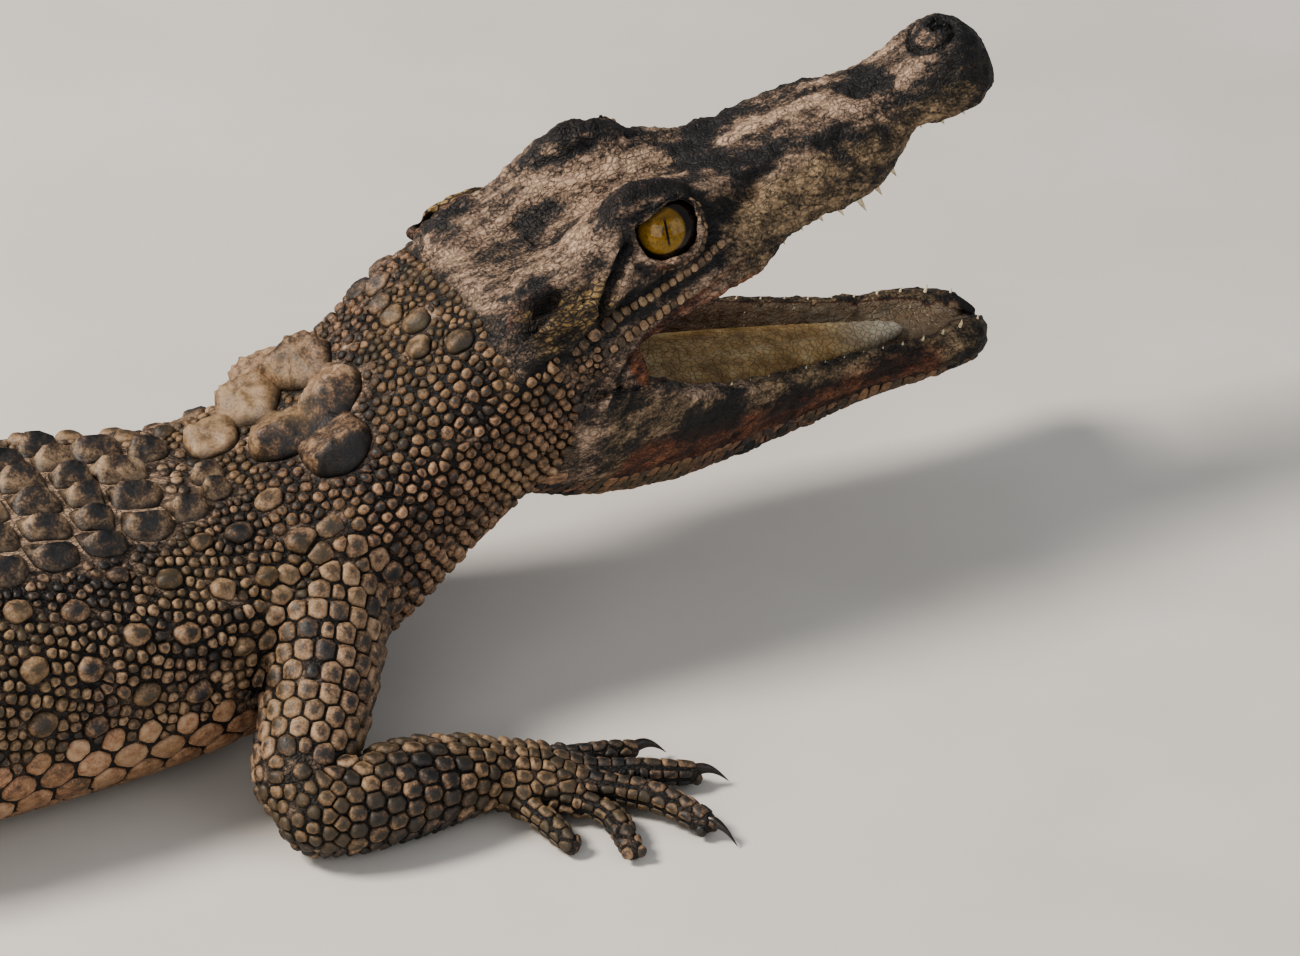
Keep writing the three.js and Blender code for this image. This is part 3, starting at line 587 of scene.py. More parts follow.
# the legs' forms
legs = {
    # right side, rows of x, y, z, half width, half height
    "fore": {
        "upper_arm": [(124, -22, 38, 18, 20), (119, -36, 33, 16, 18.5), (111, -52, 25, 13.5, 15),
                      (101.5, -66, 16, 12, 13)],
        "forearm": [(103, -74.5, 12.2, 11.5, 12), (112, -76, 12, 11.5, 11.8), (124, -75, 12, 12, 12),
                    (138, -73.5, 10.5, 10.5, 10.2), (147, -72.8, 9, 9, 8.6)],
        "hand": [(146, -72.8, 8.6, 8.6, 8.4), (154, -75.3, 6.9, 11, 8), (162, -77.6, 6.1, 11, 6.8),
                 (168, -78.5, 5.4, 8.5, 5)],
        "digits": [
            ([(164, -71, 7), (175.8, -71.4, 5.6), (182.7, -71.2, 4.4)], 3.3, True),
            ([(163, -76, 7), (180.4, -82.4, 5.6), (191.7, -85.3, 4.2)], 3.9, True),
            ([(160, -79, 7), (178.9, -91.7, 5.2), (186.8, -104.6, 3.9)], 4.1, True),
            ([(156, -82, 6.5), (167.3, -92.8, 4.4), (167.6, -107, 2.9)], 3.5, False),
            ([(149, -80, 6.5), (153.5, -92.6, 4.2), (155.2, -99.5, 2.9)], 3.3, False),
        ],
    },
    "hind": {
        "thigh": [(-112, -20, 29, 22, 24), (-99, -40, 26.5, 19, 21.5), (-84, -58, 22.5, 16, 17.5),
                  (-74, -69, 18.5, 13, 14)],
        "shank": [(-74, -74, 15.5, 12, 13), (-86, -82, 13.8, 13, 13.4), (-103, -92, 11.2, 10.5, 10.8),
                  (-118, -99.5, 8.8, 8.6, 8.6)],
        "foot": [(-119, -102.5, 7.4, 8, 7.8), (-108, -107, 6, 9.5, 6.8), (-94, -111, 5.1, 12, 5.8),
                 (-82, -114, 4.1, 12, 4.6)],
        "digits": [
            ([(-92, -105, 5), (-76, -102.5, 4.2), (-64, -99, 3.4)], 3.5, True),
            ([(-90, -109, 5), (-66, -111, 4.4), (-50, -110, 3.6)], 3.8, True),
            ([(-90, -114, 5), (-66, -121, 4.4), (-50, -125, 3.6)], 3.7, True),
            ([(-92, -118, 5), (-74, -130, 4), (-62, -138, 3)], 3.2, False),
        ],
    },
    "taper": (1, 0.96, 0.81),
    "depth": 0.9,
    "digitDepth": 0.45,
}
limbNames = {"fore": ("upper_arm", "forearm", "hand"), "hind": ("thigh", "shank", "foot")}


def limbSurface(rows, share, angle, inset=0.0, ahead=0.0, scale=1.0):
    # points round a limb, share of the way along it, angle from the top towards its left
    rows = np.asarray(rows, float)
    share, angle, ahead, scale = np.broadcast_arrays(np.asarray(share, float), angle, ahead, scale)
    at, turned = share.ravel() * (len(rows) - 1), angle.ravel()
    centre, forward = throughPoints(rows[:, :3], at)
    left, up = sideAndUp(forward)
    sizes = np.column_stack([np.arange(len(rows)), rows[:, 3:]])
    wide, high = ((along(sizes, at, column) - inset) * scale.ravel() for column in (1, 2))
    points = (centre + forward * ahead.ravel()[:, None] + left * (wide * np.sin(turned))[:, None]
              + up * (high * np.cos(turned))[:, None])
    points[:, 2] = np.maximum(points[:, 2], inset)
    return points.reshape(*share.shape, 3)


def limbForm(name, rows, inset, stations, around):
    # a tube along the limb with a dome at either end
    rows = np.asarray(rows, float)
    domes = []
    for share, sign, row in ((0, -1, rows[0]), (1, 1, rows[-1])):
        reach = sign * (row[3:].min() - inset)
        domes.append([(share, reach * math.sin(a), math.cos(a)) for a in np.linspace(0.25, 1.45, 6)])
    order = domes[0][::-1] + [(share, 0, 1) for share in np.linspace(0, 1, stations)] + domes[1]
    return wrap(name, np.stack([limbSurface(rows, share, turns(around), inset, ahead, scale)
                                for share, ahead, scale in order]))


def digitRows(path, radius):
    return [(*point, radius * taper, radius * taper) for point, taper in zip(path, legs["taper"])]


def mirrored(rows, side):
    return [(x, -side * y, *rest) for x, y, *rest in rows]


def limbParts(side):
    # every length of both legs on one side: name, rows, inset of the skin, stations, points around
    parts = []
    for leg, names in limbNames.items():
        for name in names:
            parts.append((name, mirrored(legs[leg][name], side), legs["depth"], 20, 40))
        for i, (path, radius, _) in enumerate(legs[leg]["digits"]):
            rows = digitRows(mirrored(path, side), radius)
            parts.append((f"{names[2]}_digit_{i + 1}", rows, legs["digitDepth"], 18, 18))
    return parts


# creases where the forms meet, softened near these places on the left: x, y, z and how far round them
creases = [(118, 40, 30, 30), (102, 70, 14, 17), (147, 73, 8, 12), (-104, 34, 26, 34), (-74, 71, 16, 18),
           (-119, 101, 8, 12), (166, 80, 6, 15), (-86, 114, 5, 17)]


def softenCreases(item):
    points = pointsOf(item)
    weight = np.zeros(len(points))
    for side in (1, -1):
        for x, y, z, radius in creases:
            away = np.linalg.norm(points - (x, side * y, z), axis=1)
            weight = np.maximum(weight, 1 - smoothStep(radius * 0.55, radius, away))
    group = item.vertex_groups.new(name="joints")
    for index in np.nonzero(weight > 0.01)[0]:
        group.add([int(index)], float(weight[index]), "REPLACE")
    applyModifier(item, "SMOOTH", factor=0.5, iterations=14, vertex_group="joints")
    item.vertex_groups.clear()


def buildSkin():
    skin = buildBody()
    for build, matrix in ((buildThroat, headFrame), (buildHead, headFrame), (buildJaw, jawFrame)):
        form = build()
        carry(form, matrix)
        combine(skin, form)
    for side in (1, -1):
        for part in limbParts(side):
            combine(skin, limbForm(*part))
    softenCreases(skin)
    skin.name = "skin"
    return skin


# where the scales grow: each seed becomes one scale
coat = {
    "scuteRows": (99, 372, 13.4),  # first and last row across the back, and their spacing
    # half width of the shield of keeled scutes, along the body
    "shield": [(96, 12), (108, 17), (121, 22), (140, 28), (165, 33), (200, 40), (260, 41), (300, 35),
               (340, 27), (362, 22), (380, 19)],
    "scuteWide": 10.2,
    "beadStep": 3.1,
    "bellyStep": (7.2, 8.2),
    "bellyHalf": [(0, 26), (60, 30), (104, 34), (128, 42), (162, 50), (250, 50), (300, 42), (360, 32)],
    "whorls": (36, 12.3, 19.7),
    # shields of the nape and behind the head: distance back, from the midline, half width, half length, keel
    "nuchal": [(56, 7.9, 9.0, 10.2, 6.8), (66, 22.8, 8.2, 10.2, 5.6), (74.5, 8.8, 9.3, 10.6, 6.6),
               (90, 7.2, 7.6, 7.4, 4.0)],
    "occipital": [(33, 3.6, 3.0, 3.0, 1.2), (30, 11, 3.4, 3.8, 1.5), (34, 18, 3.2, 3.6, 1.4),
                  (27, 25, 2.8, 3.4, 1.2)],
    "napeTurned": 6.5,  # how far the nape is turned to the right about the spine, along the skin
    "neck": (16, 92),  # where the neck's beads begin and end
    "middle": 170,  # where the middle of the back lies across the unwrap
    "scuteRank": 3,
    "shieldRank": 6,
    "scattered": 110000,  # places tried for the small scales between the rows
    "clear": (1.7, 1.22),  # radii kept free of small scales round a scute, and round a shield of the nape
    "crowding": (0.66, 0.8),  # how near two seeds may stand, in their radii: in the rows, between the rows
    "gridCell": 16,
}
hips = runOf(coat["whorls"][1])  # where the trunk's scales end and the tail's whorls begin
kinds = {"granule": 0, "plate": 1, "scute": 2, "shield": 3}
chance = np.random.default_rng(7)


def seedTable(place, ahead, chart, kind, radius, height, tone, warm, slim=1.0, keel=0.0, roof=0.62, spot=0.0,
              gap=0.35, lean=0.0, rank=1.0):
    count = len(place)
    columns = {"kind": kinds[kind], "radius": radius, "height": height, "tone": tone, "warm": warm,
               "slim": slim, "keel": keel, "roof": roof, "spot": spot, "gap": gap, "lean": lean, "rank": rank}
    table = {key: np.broadcast_to(np.asarray(value, float), count).copy() for key, value in columns.items()}
    table.update(place=place, ahead=ahead, chart=np.asarray(chart, float))
    return table


def merged(tables):
    tables = list(tables)
    return {key: np.concatenate([table[key] for table in tables]) for key in tables[0]}


def bothSides(values):
    values = np.asarray(values, float)
    return np.concatenate([values, -values])


def halfRing(run):
    # angle and distance from the midline of the back, round one side of the body
    angle = np.linspace(0, math.pi, 181)
    return angle, distances(bodyPoints(np.full(181, float(run)), angle))


def halfGirth(run):
    return halfRing(run)[1][-1]


def coatAt(name, run):
    return float(along(coat[name], run))


def bodySeeds(run, arc, kind, **look):
    # scales across the body at one distance back, arc from the midline of the back
    angle, reach = halfRing(np.mean(run))
    arc = np.asarray(arc, float)
    run = np.broadcast_to(np.asarray(run, float), arc.shape)
    turned = np.sign(arc) * np.interp(np.abs(arc), reach, angle)
    place = bodyPoints(run, turned)
    ahead = bodyPoints(run - 1.5, turned) - place
    return seedTable(place, ahead, np.column_stack([run, arc + coat["middle"]]), kind, **look)


def backSeeds():
    for run in np.arange(*coat["scuteRows"]):
        half = coatAt("shield", run)
        count = max(2, round(half / coat["scuteWide"]))
        wide = half / count
        for k in range(count):
            yield bodySeeds(run + 1.1 * k, bothSides([(k + 0.5) * wide]), "scute", radius=wide / 2 + 0.3,
                            height=0.9, slim=1.3, tone=0.64 - 0.02 * k + chance.normal(0, 0.04, 2), warm=0.12,
                            keel=4.3 if k < 3 else 3.2, roof=0.5, spot=1.0, gap=0.9,
                            rank=coat["scuteRank"])
    for name, kind, height, tone in (("nuchal", "shield", 1.8, 0.68), ("occipital", "scute", 1.1, 0.5)):
        for run, arc, wide, long, keel in coat[name]:
            turned = coat["napeTurned"] * float(smoothStep(104, 74, run))
            yield bodySeeds(run, bothSides([arc]) + turned, kind, radius=wide, height=height,
                            slim=long / wide, tone=tone, warm=0.35, keel=keel, roof=0.8, spot=0.25, gap=0.6,
                            rank=coat["shieldRank"])


def flankSeeds(start, stop, sides):
    # beads in staggered rows, and between the shield and the belly a few rows of larger keeled ones
    step = coat["beadStep"]
    for i, run in enumerate(np.arange(start, stop, step)):
        onNeck = float(1 - smoothStep(85, 120, run))
        shield = coatAt("shield", run) + 2 if run > coat["neck"][1] else 0
        lowest = halfGirth(run) - coatAt("bellyHalf", run) - 20 * (1 - onNeck)
        one = np.arange(shield + (step / 2) * (i % 2), lowest, step)
        if len(one) == 0:
            continue
        arcs = np.concatenate([side * one for side in sides])
        count = len(arcs)
        near = smoothStep(0.1, 0.6, (np.abs(arcs) - shield) / (lowest - shield))
        size = (1.15 + 0.45 * near) * chance.uniform(0.82, 1.15, count)
        tone = 0.5 + 0.1 * near + chance.normal(0, 0.06, count)
        yield bodySeeds(run + chance.normal(0, 0.4, count), arcs + chance.normal(0, 0.4, count), "granule",
                        radius=size, height=0.4 + 0.62 * size, tone=tone, warm=0.3 + 0.3 * onNeck, slim=1.05,
                        spot=0.7, gap=0.42)
    first, last, step = coat["scuteRows"]
    for i, run in enumerate(np.arange(first - step, last, step)):
        if not start < run < stop:
            continue
        lowest = halfGirth(run) - coatAt("bellyHalf", run) - 20
        one = np.arange(coatAt("shield", run) + 6.5 + 5 * (i % 2), lowest, 15)
        arcs = np.concatenate([side * one for side in sides])
        count = len(arcs)
        arcs = arcs + chance.normal(0, 0.7, count)
        if count:
            yield bodySeeds(run + 2.5, arcs, "scute", radius=chance.uniform(2.4, 3.3, count), height=1.3,
                            tone=0.54 + chance.normal(0, 0.06, count), warm=0.35, slim=1.25, keel=1.5,
                            roof=0.8, spot=1.0, gap=0.4, rank=2)


def bellySeeds():
    long, wide = coat["bellyStep"]
    for run in np.arange(6, hips, long):
        strip = coatAt("bellyHalf", run)
        onNeck = float(1 - smoothStep(70, 115, run))
        count = max(3, round(strip / (wide * (1 - 0.3 * onNeck))))
        arcs = halfGirth(run) - (np.arange(count) + 0.5) * strip / count
        yield bodySeeds(run, bothSides(arcs), "plate", radius=3.9 - 0.9 * onNeck, height=0.55, tone=0.62,
                        warm=0.75 + 0.1 * onNeck, slim=0.92, gap=0.35, rank=1.5)
    for run in np.arange(112, hips, 9.6):
        edge = halfGirth(run) - coatAt("bellyHalf", run)
        yield bodySeeds(run + np.tile([0, 4.8, 0], 2), bothSides([edge - 3.6, edge - 11.6, edge - 18]),
                        "plate", radius=np.tile([4.6, 4.1, 3.2], 2), height=0.9,
                        tone=0.68 + chance.normal(0, 0.05, 6), warm=1.0, gap=0.5, rank=2.5)


def whorlTone(whorl):
    # dark and pale bands round the tail, some five whorls from one to the next
    return 0.34 + 0.32 * smoothStep(0.3, 0.8, 0.5 + 0.5 * np.sin(np.round(whorl) * 2 * math.pi / 5.2))


def tailSeeds():
    count, first, last = coat["whorls"]
    long = float(runOf(last) - runOf(first)) / count
    for i in range(-1, count + 2):
        run = float(runOf(first)) + (i + 0.5) * long
        if run > bodyRun - 3:
            continue
        half = halfGirth(run)
        rows = max(3, round(half / (4.2 + half * 0.06)))
        wide = half / rows
        pale = float(whorlTone(i))
        arcs = (np.arange(rows) + 0.5) * wide
        top, under = arcs[arcs <= half * 0.62], bothSides(arcs[arcs > half * 0.62])
        yield bodySeeds(run, bothSides(top), "scute", radius=wide * 0.52, height=0.8,
                        tone=pale + 0.06 * np.tile(top / half, 2), warm=0.45, slim=long / wide * 0.95,
                        keel=np.tile(np.where(top < half * 0.25, 0.8, 0.3), 2), spot=0.35, gap=0.4, rank=2)
        for part in (-0.25, 0.25) if len(under) else ():
            yield bodySeeds(run + part * long, under, "plate", radius=wide * 0.52, height=0.45,
                            tone=0.5 + 0.25 * pale, warm=0.6, slim=long / 2 / wide, gap=0.35, rank=1.5)


limbScales = {
    # spacing along and round the limb, tone, corner of its patch on the unwrap
    "upper_arm": (4.4, 5.8, 0.61, (5, 560)),
    "forearm": (3.9, 4.6, 0.45, (75, 560)),
    "hand": (3.0, 3.5, 0.54, (135, 560)),
    "thigh": (4.8, 5.4, 0.55, (5, 700)),
    "shank": (4.4, 5.0, 0.52, (90, 700)),
    "foot": (3.4, 3.9, 0.52, (155, 700)),
    "digit": (2.6, 3.4, 0.45, (205, 560)),
}


def limbSeeds(rows, step, across, tone, corner, digit=False):
    # rings of scales round one length of a leg, coarse on its outer side and fine on its inner side
    rows = np.asarray(rows, float)
    line = throughPoints(rows[:, :3], np.linspace(0, len(rows) - 1, 60))[0]
    length = np.linalg.norm(np.diff(line, axis=0), axis=1).sum()
    sizes = np.column_stack([np.arange(len(rows)), rows[:, 3:].mean(1)])
    for i, share in enumerate(np.arange(0, 1 + 1e-6, step / length)):
        girth = 2 * math.pi * float(along(sizes, share * (len(rows) - 1)))
        if digit:
            turned = np.array([0, 62, 118, 180, -118, -62]) * degree
        else:
            coarse = max(6, round(girth * 0.62 / across))
            outer = (np.arange(coarse) + 0.5 * (i % 2)) / coarse * 0.62 - 0.31
            under = np.linspace(0.36, 0.64, max(3, round(girth * 0.28 / across / 0.72)))
            turned = np.concatenate([outer, under])
            turned = (turned * 2 * math.pi + math.pi) % (2 * math.pi) - math.pi
        count = len(turned)
        place, back, front = (limbSurface(rows, np.full(count, at), turned)
                              for at in (share, max(share - 0.02, 0), min(share + 0.02, 1)))
        outside = np.abs(turned) < 2.05
        chart = np.column_stack([np.full(count, corner[0] + share * length),
                                 corner[1] + (turned / 2 / math.pi + 0.5) * girth])
        look = {"warm": 0.35, "gap": 0.16, "rank": 1.3, "spot": np.where(outside, 0.9, 0.2),
                "tone": tone - 0.08 + 0.08 * outside + chance.normal(0, 0.07, count)}
        if digit:
            look.update(radius=across * np.where(np.abs(turned) < 0.1, 0.66, 0.5), slim=0.92, keel=0.2,
                        lean=0.1, height=np.where(outside, 0.95, 0.55) * 0.55)
        else:
            look.update(radius=across * np.where(outside, 0.52, 0.36), slim=step / across, keel=0.35,
                        lean=0.3, height=np.where(outside, 0.95, 0.55))
        yield seedTable(place, front - back, chart, "plate", **look)


def legSeeds(leg):
    tables = [merged(limbSeeds(legs[leg][name], *limbScales[name])) for name in limbNames[leg]]
    step, across, tone, corner = limbScales["digit"]
    for i, (path, radius, _) in enumerate(legs[leg]["digits"]):
        place = (corner[0] + 45 * (i % 3), corner[1] + 32 * (i // 3) + (140 if leg == "hind" else 0))
        tables.append(merged(limbSeeds(digitRows(path, radius), step, across, tone, place, digit=True)))
    right = merged(tables)
    left = dict(right, place=right["place"] * (1, -1, 1), ahead=right["ahead"] * (1, -1, 1),
                chart=right["chart"] + (345, 0))
    return right, left


patches = {
    # corners of the head's and the jaw's patches on the unwrap, and the cylinder they are unrolled from
    "head": (30, 400),
    "jaw": (230, 400),
    "axis": -6,
    "radius": 26,
}


def chartOf(points, matrix, corner):
    # length along the head and distance round it
    place = localPoints(points, matrix)
    turn = np.arctan2(place[:, 1], place[:, 2] - patches["axis"])
    return np.column_stack([place[:, 0] + corner[0], turn * patches["radius"] + corner[1]])


def spaced(path, step):
    # points at equal steps along a smooth path
    fine = throughPoints(path, np.linspace(0, len(path) - 1, 200))[0]
    run = distances(fine)
    at = np.linspace(0, run[-1], max(2, round(run[-1] / step)) + 1)
    at = (at[1:] + at[:-1]) / 2
    return np.column_stack([np.interp(at, run, fine[:, k]) for k in range(3)])


headRows = [
    # path on the left side in the head's frame, then step, radius, height, tone, warm
    ([(55, 22.3, 3.5), (50, 23.6, 2.9), (44.7, 24.8, 2.7), (32, 26.9, 3.1), (25.5, 27.5, 3.3)], 2.3, 1.05,
     0.6, 0.62, 0.3),
    ([(25.5, 27.5, 3.3), (17, 28.3, 2.4), (8.2, 29.9, 0.6)], 2.6, 1.3, 0.5, 0.56, 0.4),
    ([(42, 26.5, -2.2), (33, 27.8, -1.9), (22, 29.8, -2.4), (12, 30.5, -3.4), (2.7, 31.5, -3.8)], 2.4, 1.0,
     0.55, 0.56, 0.5),
]


def faceSeeds():
    # the rows of beads under the eye and the finer ones round the front of the lids
    rows = [([onSide(point, side) for point in path], *rest) for path, *rest in headRows for side in (1, -1)]
    for side in (1, -1):
        sight, ahead, above = eyeAxes(side)
        outline = np.array([eye["edge"][k] for k in (1, 0, 10, 9, 8, 7)]) * 1.2
        depth = np.sqrt(eye["lidRadius"] ** 2 - (outline**2).sum(1))
        rows.append((onSide(eye["at"], side) + outline[:, :1] * ahead + outline[:, 1:] * above
                     + depth[:, None] * sight, 1.75, 0.82, 0.5, 0.56, 0.75))
    for path, step, radius, height, tone, warm in rows:
        place = worldPoints(spaced(path, step), headFrame)
        count = len(place)
        chart = chartOf(place, headFrame, patches["head"])
        yield seedTable(place, -np.gradient(place, axis=0), chart, "granule",
                        radius=radius * chance.uniform(0.85, 1.12, count), height=height, slim=1.3,
                        tone=tone + chance.normal(0, 0.08, count), warm=warm, spot=0.2, gap=0.16, rank=2)


def underSeeds():
    # rows across the underside of the jaw and the throat
    for x in np.arange(-14, 148, 3.4):
        keelY, keelZ, chinZ, outerY, sideZ = map(float, profilesAt(jaw, "keelY keelZ chinZ outerY sideZ", x))
        path = [(x, 0, chinZ), (x, keelY * 0.55, chinZ * 0.75 + keelZ * 0.25), (x, keelY, keelZ),
                (x, (keelY + outerY) / 2 + 1.4, (keelZ + sideZ) / 2)]
        for side in (1, -1):
            place = worldPoints(spaced(path, 3.5) * (1, side, 1), jawFrame)
            ahead = np.broadcast_to(np.array(jawFrame.to_3x3() @ Vector((1, 0, 0))), place.shape)
            chart = chartOf(place, jawFrame, patches["jaw"])
            yield seedTable(place, ahead, chart, "plate", radius=1.75, slim=0.95,
                            height=0.35, tone=0.44 + chance.normal(0, 0.08, len(place)), warm=1.1, spot=0.1,
                            gap=0.3)


cheekGroove = [(-14, -2), (-6, 1), (1, 1.8), (10, 1.9), (18, 3.3), (26, 4.9), (35, 4.9), (43, 6.3), (50, 5.6),
               (56, 4)]  # how high the groove below the ear and the eye runs


def fillRadius(points, normals):
    # radius of the small scales that fill in between the rows; nought where the skin is bare
    x, y, z = folded(points, headFrame)
    jx, jy, jz = folded(points, jawFrame)
    facingUp = (normals @ np.array(headFrame.inverted().to_3x3()).T)[:, 2]
    lip, (rim, side, outer, inner) = along(head["lipZ"], x), profilesAt(jaw, "rimZ sideZ outerY innerY", jx)
    radius = np.where(points[:, 2] < 2, 0, 1.3)
    radius = np.where((x > -40) & (points[:, 0] > 120), 0.95 + 0.35 * smoothStep(-8, -40, x), radius)
    onHead = (x > -9) & (z > lip - 2)
    radius = np.where(onHead, 0.85, radius)
    radius = np.where(onHead & ((z > along(cheekGroove, x)) | (x > 14)), 0, radius)
    onJaw = (jx > 15) & (jz < rim + 2.5) & (jx < 158) & (jy < outer + 2)
    within = onJaw & (jy < inner + 1.2) & (jz > side)
    flank = onJaw & (jz > (side + along(jaw["keelZ"], jx)) / 2)
    radius = np.where(onJaw & ~within, 1.3, radius)
    mouth = (x > 10) & (x < 150) & (z < lip + 1) & (jz > rim - 1.5)
    atPalate = np.abs(z - along(head["palateZ"], x)) < 4
    palate = (facingUp < -0.35) & (x > 14) & (y < along(head["lipY"], x)) & atPalate
    return np.where(within | flank | mouth | palate, 0, radius)


coatParts = {
    # what sows each part of the coat; every seed carries the number of its part in this order
    "backScales": backSeeds,
    "neckScales": lambda: flankSeeds(*coat["neck"], (1, -1)),
    "flankLeftScales": lambda: flankSeeds(coat["neck"][1], hips, (1,)),
    "flankRightScales": lambda: flankSeeds(coat["neck"][1], hips, (-1,)),
    "bellyScales": bellySeeds,
    "tailScales": tailSeeds,
    "foreLegScales": lambda: legSeeds("fore"),
    "hindLegScales": lambda: legSeeds("hind"),
    "faceScales": faceSeeds,
    "jawScales": underSeeds,
}


def onParts(numbers, *names):
    # which of the part numbers belong to the named parts
    order = list(coatParts)
    return np.isin(numbers, [order.index(name) for name in names])


class Surface:
    # the finished skin, asked for its nearest point and the smooth normal there
    def __init__(self, item):
        item.data.calc_loop_triangles()
        self.points = pointsOf(item)
        self.normals = normalsOf(item)
        corners = np.zeros(len(item.data.loop_triangles) * 3, np.int32)
        item.data.loop_triangles.foreach_get("vertices", corners)
        self.faces = corners.reshape(-1, 3)
        self.tree = BVHTree.FromPolygons(self.points.tolist(), self.faces.tolist())

    def on(self, points):
        return np.array([self.tree.find_nearest(point)[0] for point in np.asarray(points).tolist()])

    def nearest(self, points):
        found = [self.tree.find_nearest(point) for point in np.asarray(points).tolist()]
        place = np.array([hit[0] for hit in found])
        face = self.faces[np.array([hit[2] for hit in found])]
        weight = 1 / np.maximum(np.linalg.norm(self.points[face] - place[:, None], axis=2), 1e-4)
        return place, unit((self.normals[face] * weight[:, :, None]).sum(1))

    def scatter(self, count):
        a, b, c = (self.points[self.faces[:, k]] for k in range(3))
        area = np.linalg.norm(np.cross(b - a, c - a), axis=1)
        pick = chance.choice(len(self.faces), count, p=area / area.sum())
        u, v = chance.random(count), chance.random(count)
        flip = u + v > 1
        u, v = np.where(flip, 1 - u, u)[:, None], np.where(flip, 1 - v, v)[:, None]
        mix = [self.faces[pick, k] for k in range(3)]
        points, normals = (values[mix[0]] * (1 - u - v) + values[mix[1]] * u + values[mix[2]] * v
                           for values in (self.points, self.normals))
        return points, unit(normals)


class Grid:
    # seeds by the box of space they lie in, for asking whether a place is free
    def __init__(self, cell):
        self.cell, self.held = cell, {}

    def free(self, point, radius, spacing):
        # small scales may crowd one another, and keep clear of the large ones
        i, j, k = (math.floor(value / self.cell) for value in point)
        for a in (i - 1, i, i + 1):
            for b in (j - 1, j, j + 1):
                for c in (k - 1, k, k + 1):
                    for other, size in self.held.get((a, b, c), ()):
                        reach = size * (spacing if size < 2.6 else 0.93)
                        if math.dist(point, other) < reach + radius * spacing:
                            return False
        return True

    def add(self, point, radius):
        key = tuple(math.floor(value / self.cell) for value in point)
        self.held.setdefault(key, []).append((point, radius))


def settle(seeds, surface, reach=2.7):
    # rests each seed on the skin, leaving out those that lie inside another form
    place, normal = surface.nearest(seeds["place"])
    keep = (np.linalg.norm(place - seeds["place"], axis=1) < reach) & (place[:, 2] > 0.35)
    onHead = onParts(seeds["part"], "faceScales", "jawScales")
    keep &= onHead | (place[:, 2] < 2) | (fillRadius(place, normal) > 0)
    seeds = {key: value[keep] for key, value in seeds.items()}
    seeds["place"], seeds["normal"] = place[keep], normal[keep]
    return seeds


def thinned(seeds):
    # where two seeds are too near each other, the larger and more important one stays
    grid = Grid(coat["gridCell"])
    places, radii = seeds["place"].tolist(), seeds["radius"].tolist()
    longer = (unit(seeds["ahead"]) * (seeds["radius"] * (seeds["slim"] - 1))[:, None]).tolist()
    keep = []
    for i in np.argsort(-seeds["radius"] * seeds["rank"], kind="stable").tolist():
        if grid.free(places[i], radii[i], coat["crowding"][0]):
            for end in (-1, 0, 1) if seeds["slim"][i] > 1.15 else (0,):
                grid.add([p + end * q for p, q in zip(places[i], longer[i])], radii[i])
            keep.append(i)
    keep = np.sort(np.array(keep))
    return {key: value[keep] for key, value in seeds.items()}, grid


def treeOf(points):
    tree = kdtree.KDTree(len(points))
    for i, point in enumerate(np.asarray(points).tolist()):
        tree.insert(point, i)
    tree.balance()
    return tree


def nearestSeed(seeds, points):
    # which seed lies nearest each point, and how far away
    tree = treeOf(seeds["place"])
    _, near, away = zip(*[tree.find(point) for point in points.tolist()])
    return np.array(near), np.array(away)


def fillGaps(seeds, grid, surface):
    # small scales wherever the rows leave room
    points, normals = surface.scatter(coat["scattered"])
    near, away = nearestSeed(seeds, points)
    part, rank = seeds["part"][near], seeds["rank"][near]
    radius = fillRadius(points, normals)
    radius = np.where((radius > 0) & onParts(part, "foreLegScales", "hindLegScales"), 1.9, radius)
    scuteClear, shieldClear = coat["clear"]
    bare = np.where((rank == coat["scuteRank"]) | onParts(part, "bellyScales", "tailScales"), scuteClear, 0)
    bare = np.where(rank == coat["shieldRank"], shieldClear, bare)
    radius = np.where(away < bare * seeds["radius"][near], 0, radius)
    taken = []
    for i, (point, size) in enumerate(zip(points.tolist(), radius.tolist())):
        if size > 0 and grid.free(point, size, coat["crowding"][1]):
            grid.add(point, size)
            taken.append(i)
    place, normal, size, near = points[taken], normals[taken], radius[taken], near[taken]
    ahead = seeds["ahead"][near]
    shift = place - seeds["place"][near]
    onward = unit(ahead)
    across = np.cross(seeds["normal"][near], onward)
    chart = seeds["chart"][near] + np.column_stack([-(shift * onward).sum(1), (shift * across).sum(1)])
    fill = seedTable(place, ahead, chart, "granule", radius=size, height=0.25 + 0.45 * size,
                     tone=np.minimum(seeds["tone"][near], 0.56) + chance.normal(-0.03, 0.07, len(place)),
                     warm=seeds["warm"][near], spot=0.6, gap=0.32)
    return merged([seeds, dict(fill, normal=normal, part=seeds["part"][near])])


